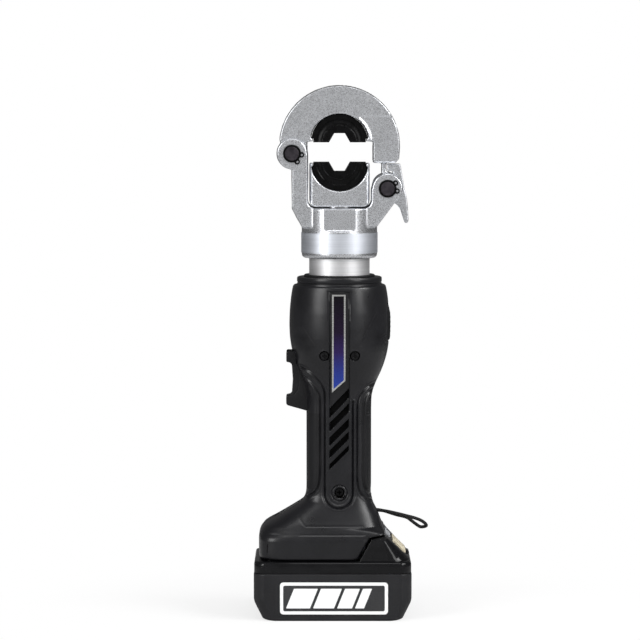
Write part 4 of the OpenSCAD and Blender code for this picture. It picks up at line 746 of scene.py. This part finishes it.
def housing_skin():
    """Rings of points up the plain skin, and the way out of it at each point."""
    z = np.concatenate([[43.2, 43.5, 43.9, 44.4, 45.2], np.arange(46.2, 56.0, 1.1),
                        np.arange(56.0, 75.0, 0.5), np.arange(75.0, 235.4, 0.36),
                        np.arange(235.5, 238.3, 0.35), [238.5, 238.8, 239.05, 239.2]])[:, None]
    left, right, depth, square = (section(column, z) for column in (LEFT, RIGHT, DEPTH, SQUARE))
    turn = np.linspace(0, 2 * math.pi, SKIN_COLUMNS, endpoint=False)[None, :]
    s, c = np.sin(turn), -np.cos(turn)
    n = square + np.where(s > 0, SQUARE_GAIN, 0.0) * smooth_step(SQUARE_TOP - z, 0.0, SQUARE_EASE)
    size = (np.abs(s / ((right - left) / 2))**n + np.abs(c / depth)**n)**(-1 / n)
    skin = np.stack([(right + left) / 2 + size * s, size * c, np.repeat(z, SKIN_COLUMNS, 1)], -1)
    way_round = np.roll(skin, -1, 1) - np.roll(skin, 1, 1)
    normal = np.cross(way_round, np.gradient(skin, axis=0))
    return skin, normal / (np.linalg.norm(normal, axis=-1, keepdims=True) + 1e-12)


def open_pockets(skin, x, y, z):
    """Sinks the trigger's slot, the release pad's window and the strap's hole into the skin."""
    half, low, high, floor = TRIGGER_SLOT
    slot = (x < -SIDE_START) & (np.abs(y) < half) & (z > low) & (z < high)
    skin[slot, 0] = np.maximum(skin[slot, 0], floor)
    half, low, high, floor = PAD_WINDOW
    window = (x > SIDE_START) & (np.abs(y) < half) & (z > low) & (z < high)
    skin[window, 0] = np.minimum(skin[window, 0], floor)
    hole = (x > SIDE_START) & (np.hypot(y, z - STRAP_HOLE_Z) < STRAP_HOLE_RADIUS)
    skin[hole, 0] -= STRAP_HOLE_DEPTH


def paint_shell(shell, x, y, z):
    """Soft grips on both sides, and painted shade in the vents and screw holes."""
    edge, low, high = LEFT_GRIP
    grips = (x < edge) & (z > low) & (z < high)
    edge, low, high = RIGHT_GRIP
    grips |= (x > edge) & (z > low) & (z < high)
    sunk = np.zeros(x.shape, bool)
    for low, tall in VENTS:
        sunk |= in_vent(low, tall, x, z) > 0.5
    for sx, sz in BARREL_SCREWS + [LOW_SCREW]:
        sunk |= np.hypot(x - sx, z - sz) < 3.3
    for finish in ("soft", "dark"):
        shell.data.materials.append(FINISH[finish])
    flags = np.zeros(len(shell.data.polygons), np.int32)
    # Faces in the front's vents and screw holes take the near-black finish: painted shade
    flags[:x.size] = np.where(sunk & (y < -FACE_START), 2, grips).ravel()
    shell.data.polygons.foreach_set("material_index", flags)


def cut_slide_channel(shell):
    """Opens the space under the foot that the pack's deck and rails slide out of."""
    for low, high in SLIDE_CHANNEL:
        points = [(x, y, z) for x in (low[0], high[0]) for y in (low[1], high[1]) for z in (low[2], high[2])]
        faces = [(0, 1, 3, 2), (4, 6, 7, 5), (0, 4, 5, 1), (2, 3, 7, 6), (0, 2, 6, 4), (1, 5, 7, 3)]
        mesh = bpy.data.meshes.new("slide_channel")
        mesh.from_pydata((np.array(points) * MM).tolist(), [], faces)
        mesh.materials.append(FINISH["housing"])
        tool = new_object("slide_channel", mesh)
        cut = shell.modifiers.new("channel", "BOOLEAN")
        cut.operation, cut.solver, cut.object = "DIFFERENCE", "MANIFOLD", tool
        opened = evaluated_mesh(shell)
        shell.modifiers.clear()
        shell.data = opened
        bpy.data.objects.remove(tool)
    shell.data.set_sharp_from_angle(angle=math.radians(SKIN_SHARP))


def make_housing():
    plain, normal = housing_skin()
    x, y, z = plain[..., 0], plain[..., 1], plain[..., 2]
    skin = plain + normal * housing_relief(x, y, z)[..., None]
    open_pockets(skin, x, y, z)
    lip = skin[-1] * (MOUTH_LIP, MOUTH_LIP, 1.0)
    inside = skin[-1] * (MOUTH_INSIDE, MOUTH_INSIDE, 1.0) - (0, 0, MOUTH_DEPTH)
    shape = closed_loft(np.concatenate([skin, [lip, inside]]))
    shell = to_piece("housing_shell", shape, "housing", "handle",
                     ("housing_front", "housing_back", "grip_pads"), SKIN_SHARP)
    paint_shell(shell, x[:-1], y[:-1], z[:-1])
    cut_slide_channel(shell)


def make_status_window():
    """Dark window with a raised rim, let into the foot's shoulder."""
    along = np.array([math.cos(WINDOW_TILT), math.sin(WINDOW_TILT)])
    out = np.array([-math.sin(WINDOW_TILT), math.cos(WINDOW_TILT)])

    def tile(name, reach, low, high, half, finish, nodes=()):
        corners = ((-reach, low), (reach, low), (reach, high), (-reach, high))
        outline = [(*(np.array(WINDOW_PLACE) + along * a + out * b), 0.25) for a, b in corners]
        to_piece(name, plate(rounded(outline, 3), -half, half, 0.25, 3), finish, "handle", nodes, 40)

    tile("status_rim", 11.9, -1.5, -0.25, 7.3, "housing", ("status_panel",))
    tile("status_glass", 8.6, -1.4, -0.1, 5.6, "window")


make_housing()
make_status_window()

# Head

# Dies: radius, half thickness, corner radius of the hexagon, and the flat notch at each end of the half ring
DIE_RADIUS, DIE_HALF, HEXAGON_CORNER = 20.4, 10.0, 7.55
DIE_NOTCH_HEIGHT, DIE_NOTCH_DEPTH = 3.15, 1.55
# Heights of the faces that meet when the ram is up
UPPER_DIE_FACE, LOWER_DIE_FACE = 341.6, 327.4
# Profiles of turned parts, as radius and height
TUBE_PROFILE = [(17.0, 210.6), (21.8, 210.6), (21.8, 278.5), (17.0, 278.5)]
NOSE_PROFILE = [(22.0, 237.6), (30.3, 237.6), (30.6, 237.9), (30.6, 240.2), (30.45, 240.5), (30.0, 240.7),
                (30.0, 241.1), (30.45, 241.3), (30.6, 241.6), (30.6, 243.9), (30.35, 244.6), (29.7, 244.95),
                (26.6, 245.0), (22.0, 245.0)]
WIPER_PROFILE = [(21.9, 245.0), (25.4, 245.0), (25.6, 245.4), (25.5, 246.1), (25.0, 246.55), (23.0, 246.6),
                 (21.9, 246.2)]


def add_draft(mesh, draft, parting, face):
    """Draws a mesh in by a draft that grows along Y from the parting to the face."""
    place, normal = np.empty(3 * len(mesh.vertices)), np.empty(3 * len(mesh.vertices))
    mesh.vertices.foreach_get("co", place)
    mesh.vertex_normals.foreach_get("vector", normal)
    place, normal = place.reshape(-1, 3), normal.reshape(-1, 3)
    out = np.abs(place[:, 1]) / MM
    share = np.clip((out - parting) / ((face or out.max()) - parting), 0, 1)
    # Undersides are seats, so they keep their place
    share *= 1 - np.clip(-2 * normal[:, 2] - 0.8, 0, 1)
    place[:, ::2] -= draft * MM * share[:, None] * normal[:, ::2]
    mesh.vertices.foreach_set("co", place.ravel())


def make_casting(node, name, voxel, passes, draft, parting=0.0, face=None):
    """A copy of a CAD node with the rounded edges and drafted sides of a casting."""
    source = frame["nodes"][node]
    mesh = source.data.copy()
    mesh.name = name
    mesh.materials.clear()
    mesh.materials.append(FINISH["cast"])
    piece = new_object(name, mesh)
    grid = piece.modifiers.new("grid", "REMESH")
    grid.mode, grid.voxel_size, grid.use_smooth_shade = "VOXEL", voxel * MM, True
    ease = piece.modifiers.new("ease", "SMOOTH")
    ease.factor, ease.iterations = 0.5, passes
    thin = piece.modifiers.new("thin", "DECIMATE")
    thin.ratio = 0.35
    made = evaluated_mesh(piece)
    piece.modifiers.clear()
    piece.data = made
    add_draft(made, draft, parting, face)
    for polygon in made.polygons:
        polygon.use_smooth = True
    settle(piece, source["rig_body"], (node,))


def make_die(name, node, level, up):
    """A half-round die with a hexagon half and stepped rings on both faces."""
    angles = np.radians(np.linspace(0, 180, 121))[:, None]
    share = np.concatenate([[0.0, 0.03], np.linspace(0.06, 0.94, 40), [0.97, 1.0]])[None, :]
    hexagon = HEXAGON_CORNER * math.cos(math.pi / 6) / np.cos((angles % (math.pi / 3)) - math.pi / 6)
    notched = (DIE_RADIUS - DIE_NOTCH_DEPTH) / np.maximum(np.abs(np.cos(angles)), 1e-6)
    low = DIE_RADIUS * np.sin(angles) < DIE_NOTCH_HEIGHT
    outer = np.where(low, np.minimum(DIE_RADIUS, notched), DIE_RADIUS)
    r = hexagon + (outer - hexagon) * share
    steps = 0.525 * smooth_step(r, 11.9, 12.6) + 0.95 * smooth_step(r, 12.6, 16.2)
    steps -= 0.5 * smooth_step(r, 16.2, 16.7)
    edges = 0.5 * np.clip(1 - (outer - r) / 0.5, 0, 1)**2 + 0.4 * np.clip(1 - (r - hexagon) / 0.4, 0, 1)**2
    y = DIE_HALF - steps - edges
    x, rise = r * np.cos(angles), r * np.sin(angles)
    z = level + rise if up else level - rise
    points, faces = closed_sheet(np.stack([x, -y, z], -1), np.stack([x, y, z], -1))
    if not up:
        faces = [f[::-1] for f in faces]
    body = frame["nodes"][node]["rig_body"]
    to_piece(name, (points, faces), "oxide", body, (node,), 28)


make_casting("crimp_head", "fork_casting", voxel=0.42, passes=36, draft=0.7, parting=11.5, face=18.5)
make_casting("flip_jaw", "jaw_casting", voxel=0.42, passes=40, draft=0.8)
make_casting("jaw_latch", "latch_casting", voxel=0.38, passes=26, draft=0.2)
make_casting("ram_head", "ram_casting", voxel=0.42, passes=26, draft=0.3)
make_die("upper_die_ring", "upper_die", UPPER_DIE_FACE, True)
make_die("lower_die_ring", "lower_die", LOWER_DIE_FACE, False)
to_piece("cylinder_tube_turned", turned_ring(TUBE_PROFILE), "tube", "head", ("cylinder_tube",))
to_piece("nose_ring_turned", turned_ring(NOSE_PROFILE), "housing", "handle",
         ("nose_ring",), 40)
to_piece("wiper_seal_turned", turned_ring(WIPER_PROFILE), "seal", "handle",
         ("wiper_seal",), 40)

# Trigger, release pad, name plate and springs


def make_trigger():
    """Trigger: a narrow scoop for the finger between two wide lips, with flat cheeks behind the scoop."""
    lip_top = [(-38.3, 191.4, 1.2), (-38.3, 183.7, 1.0)]
    lip_low = [(-38.4, 158.9, 1.0), (-38.4, 152.6, 2.2)]
    scoop = [(-34.4, 182.8, 3.0), (-33.6, 171.3, 6.0), (-34.4, 159.6, 3.0)]
    hollow = [(-34.8, 183.3, 1.0), (-32.0, 182.3, 1.2), (-29.9, 177.4, 3.0), (-28.9, 169.9, 6.0),
              (-29.9, 163.6, 4.0), (-32.0, 160.3, 3.0), (-34.8, 158.9, 1.0)]
    behind = [(-22.6, 148.1, 0.6), (-22.6, 173.8, 1.0), (-25.2, 176.2, 0.8), (-26.2, 180.2, 0.6),
              (-29.9, 180.8, 0.5), (-29.9, 182.0, 0.4), (-31.0, 182.8, 0.4), (-31.0, 191.3, 0.6)]
    for name, front, half, edge, nodes in (("trigger_scoop", scoop, 8.2, 0.8, ("trigger",)),
                                           ("trigger_cheeks", hollow, 9.5, 0.5, ())):
        outline = rounded(lip_top + front + lip_low + behind, 5)
        to_piece(name, plate(outline, -half, half, edge), "soft", "trigger_lever", nodes, 40)


def make_release_pad():
    """Pad that follows the barrel's round, with ribs across it for the thumb."""
    low, high, half, middle, inside = 198.7, 225.5, 8.45, 212.1, 33.0
    z = np.linspace(low, high, 60)[:, None]
    y = np.linspace(-half, half, 40)[None, :]
    ends = smooth_step(z - low + 0.1, 0, 1.4) * smooth_step(high + 0.1 - z, 0, 9.0)
    proud = smooth_step(half + 0.05 - np.abs(y), 0, 1.6) * ends
    ribbed = smooth_step(6.6 - np.abs(y), 0, 1.2) * smooth_step(11.5 - np.abs(z - middle), 0, 1.5)
    ribs = 0.12 * np.clip(np.cos((z - middle) * 2 * math.pi / 3.4), 0, 1) * ribbed
    r = section(DEPTH, z) + proud - 0.1 + ribs
    x = np.sqrt(r * r - y * y)
    outer = np.stack([x, np.broadcast_to(y, x.shape), np.broadcast_to(z, x.shape)], -1)
    inner = outer.copy()
    inner[..., 0] = inside
    to_piece("release_pad", closed_sheet(outer, inner), "soft", "release",
             ("release_button",), 45)


def make_name_plate():
    """Plate that follows the channel's floor: a bright raised border round a printed face."""
    left, right, top, low_left, low_right = -5.45, 4.15, 233.9, 162.8, 171.6
    slope = (low_right - low_left) / (right - left)
    floor = 1.55

    def sheet(name, inset, level, finish, nodes=()):
        x = (left + inset) + np.linspace(0, 1, 12)[None, :] * (right - left - 2 * inset)
        low = low_left + inset * 1.55 + (x - left) * slope - inset * 0.2
        z = low + np.linspace(0, 1, 90)[:, None] * (top - inset - low)
        x = np.broadcast_to(x, z.shape)
        square = section(SQUARE, z)
        y = floor - section(DEPTH, z) * (1 - np.abs(x / section(RIGHT, z))**square)**(1 / square)
        shape = closed_sheet(np.stack([x, y - level, z], -1), np.stack([x, y, z], -1))
        to_piece(name, shape, finish, "handle", nodes, 40)

    sheet("plate_border", 0.0, 1.0, "border", ("name_plate",))
    sheet("plate_print", 1.15, 1.08, "plate")


def make_coil(node):
    """A steel copy of a spring's CAD node, riding on its body in place of the node."""
    source = frame["nodes"][node]
    coil = new_object(node + "_coil", source.data.copy())
    coil.data.materials.clear()
    coil.data.materials.append(FINISH["steel"])
    settle(coil, source["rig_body"], (node,))
    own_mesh(coil)


make_trigger()
make_release_pad()
make_name_plate()
make_coil("return_spring")
make_coil("trigger_spring")
make_coil("release_spring")

# Battery pack

PACK_MIDDLE, PACK_HALF_L, PACK_HALF_W, PACK_CORNER = -4.9, 56.6, 37.5, 7.2
# The case's ends lean in below this height, by this much at the floor
PACK_WAIST, PACK_LEAN = 14.0, 7.0
# Height and inset of the glossy cover's band
COVER_BAND = [(34.15, 0.9), (34.2, 0.45), (34.6, 0.3), (40.4, 0.3), (41.4, 0.55), (42.1, 1.1), (42.45, 1.8),
              (42.5, 2.6)]
# Ends of the deck and rails along X, their top, and the radius of their edges
DECK_X, DECK_TOP, DECK_EDGE = (-50.5, 19.0), 54.0, 0.6
WEDGE_LOW, WEDGE_TOP, WEDGE_HALF_W = 39.4, 60.3, 33.0
WEDGE_ROUND_RIGHT, WEDGE_ROUND_LEFT = 15.0, 0.6


def pack_ring(half_l, half_w, z, per_corner=10):
    """A rectangle with round corners, each flattened a little so that a crease shows where it starts."""
    points = []
    for sx, sy, start in ((1, -1, -90), (1, 1, 0), (-1, 1, 90), (-1, -1, 180)):
        first, last = math.radians(start), math.radians(start + 90)
        for share in np.linspace(0, 1, per_corner):
            a = math.radians(start + 90 * share)
            u = 0.55 * math.cos(a) + 0.45 * ((1 - share) * math.cos(first) + share * math.cos(last))
            v = 0.55 * math.sin(a) + 0.45 * ((1 - share) * math.sin(first) + share * math.sin(last))
            points.append((PACK_MIDDLE + sx * (half_l - PACK_CORNER) + PACK_CORNER * u,
                           sy * (half_w - PACK_CORNER) + PACK_CORNER * v, z))
    return points


def wedge_ring(z, per_corner=9):
    """A level section of the pack's wedge, with broad corners towards its sloping end."""
    left = np.interp(z, [WEDGE_LOW, 58.0, 58.7, WEDGE_TOP], [12.6, 22.8, 25.1, 32.0])
    right = np.interp(z, [WEDGE_LOW, 42.4, WEDGE_TOP], [50.9, 50.9, 32.8])
    points = []
    for x, sx, sy, start, corner in (
            (right, -1, -1, -90, WEDGE_ROUND_RIGHT), (right, -1, 1, 0, WEDGE_ROUND_RIGHT),
            (left, 1, 1, 90, WEDGE_ROUND_LEFT), (left, 1, -1, 180, WEDGE_ROUND_LEFT)):
        r = min(corner, (right - left) / 2.2)
        for a in np.radians(np.linspace(start, start + 90, per_corner)):
            points.append((x + sx * r + r * math.cos(a), sy * (WEDGE_HALF_W - r) + r * math.sin(a), z))
    return points


def make_pack_case():
    rings = []
    for z in np.concatenate([[0.0, 0.15, 0.5, 1.0, 1.6], np.linspace(2.4, 13.2, 14),
                             [13.6, 14.0, 14.5, 15.2, 16.5], np.linspace(18, 33.0, 12), [33.4, 33.75]]):
        foot = 1.4 * max(0.0, 1 - z / 1.6)**2
        slope = PACK_LEAN * max(0.0, 1 - z / PACK_WAIST)
        ease = 0.35 * max(0.0, 1 - abs(z - PACK_WAIST) / 2.4)**2
        brim = 0.3 * max(0.0, (z - 33.0) / 0.75)**2
        rings.append(pack_ring(PACK_HALF_L - slope - ease - foot - brim, PACK_HALF_W - foot - brim, z))
    to_piece("pack_case", closed_loft(rings), "pack", "battery", ("battery_case",), 11.5)


def make_pack_cover():
    """Glossy cover: a band round the pack, the deck and rails that hold the foot, and the wedge beside it."""
    def glossy(name, shape, nodes=(), sharp=32.0):
        to_piece(name, shape, "gloss", "battery", nodes, sharp)

    band = [pack_ring(PACK_HALF_L - inset, PACK_HALF_W - inset, z) for z, inset in COVER_BAND]
    glossy("pack_cover_band", closed_loft(band), ("battery_cover",), 30)
    for name, y0, y1, low in (("pack_deck", -26.4, 26.4, 42.0), ("pack_rail_front", -30.0, -26.3, 48.5),
                              ("pack_rail_back", 26.3, 30.0, 48.5)):
        glossy(name, rounded_box((DECK_X[0], y0, low), (DECK_X[1], y1, DECK_TOP), DECK_EDGE))
    levels = np.concatenate([[WEDGE_LOW, 42.2, 42.5, 43.0], np.arange(44.0, 58.0, 1.0),
                             [58.0, 58.35, 58.7, 59.1, 59.5, 59.9, 60.2, WEDGE_TOP]])
    glossy("pack_wedge", closed_loft([wedge_ring(z) for z in levels]), sharp=38)


def make_pack_label():
    """Generic pack label: a slightly sunk panel, a white framed field and plain blocks."""
    low, high, lean = 9.4, 23.6, 5.7

    def sheet(name, outline, level, finish):
        shape = plate(outline, -PACK_HALF_W - level, -PACK_HALF_W + 0.4, 0.03, 1)
        to_piece(name, shape, finish, "battery", sharp=30)

    def framed(name, left, bottom, right, top, corner, level, finish):
        corners = ((left, bottom), (right, bottom), (right, top), (left, top))
        sheet(name, rounded([(*place, corner) for place in corners], 6), level, finish)

    framed("label_panel", -46.5, 1.6, 42.4, 32.3, 3.2, 0.10, "panel")
    framed("label_frame", -42.6, 5.0, 34.6, 28.1, 2.4, 0.18, "label_white")
    framed("label_field", -40.3, 7.3, 32.3, 25.8, 1.2, 0.24, "label_dark")
    for k, (a, b) in enumerate(((-38.3, -21.2), (-19.0, -4.0), (-1.8, 8.9), (11.0, 17.5))):
        corners = ((a, low), (b, low), (b + lean, high), (a + lean, high))
        sheet(f"label_block_{k + 1}", rounded([(*place, 0.3) for place in corners], 2), 0.30, "label_white")


make_pack_case()
make_pack_cover()
make_pack_label()

# Finishes of the CAD nodes

NODE_EDGE = 0.12
NODE_FINISH = {
    "pin": ("pivot_pins",),
    "screw": ("housing_screws",),
    "oxide": ("circlips",),
    "band": ("collar_band",),
    "steel": ("swivel_clip", "piston", "latch_spring", "pump_plunger", "plunger_spring", "main_bearing",
              "ring_gear", "motor_can", "sun_pinion", "planet_carrier", "cam_shaft", "cam_bearing",
              "planet_gear_1", "planet_gear_2", "planet_gear_3", "strap_ferrule"),
    "seal": ("piston_seal", "oil_bladder", "gauge_button"),
    "block": ("pump_block", "bearing_plate"),
    "brass": ("relief_valve", "terminal_blades", "battery_terminals"),
    "housing": ("motor_end_cap", "trigger_switch", "terminal_block", "cell_holder"),
    "winding": ("armature",),
    "board": ("control_board", "battery_board"),
    "cell": ("battery_cells",),
    "grey": ("battery_button",),
    "cream": ("gauge_panel",),
}


def dress_nodes():
    for finish, nodes in NODE_FINISH.items():
        for node in nodes:
            shown = frame["nodes"][node]
            shown.data.materials.clear()
            shown.data.materials.append(FINISH[finish])
            ease = shown.modifiers.new("edges", "BEVEL")
            ease.width, ease.segments = NODE_EDGE * MM, 2
            ease.limit_method, ease.angle_limit = "ANGLE", math.radians(40)


dress_nodes()
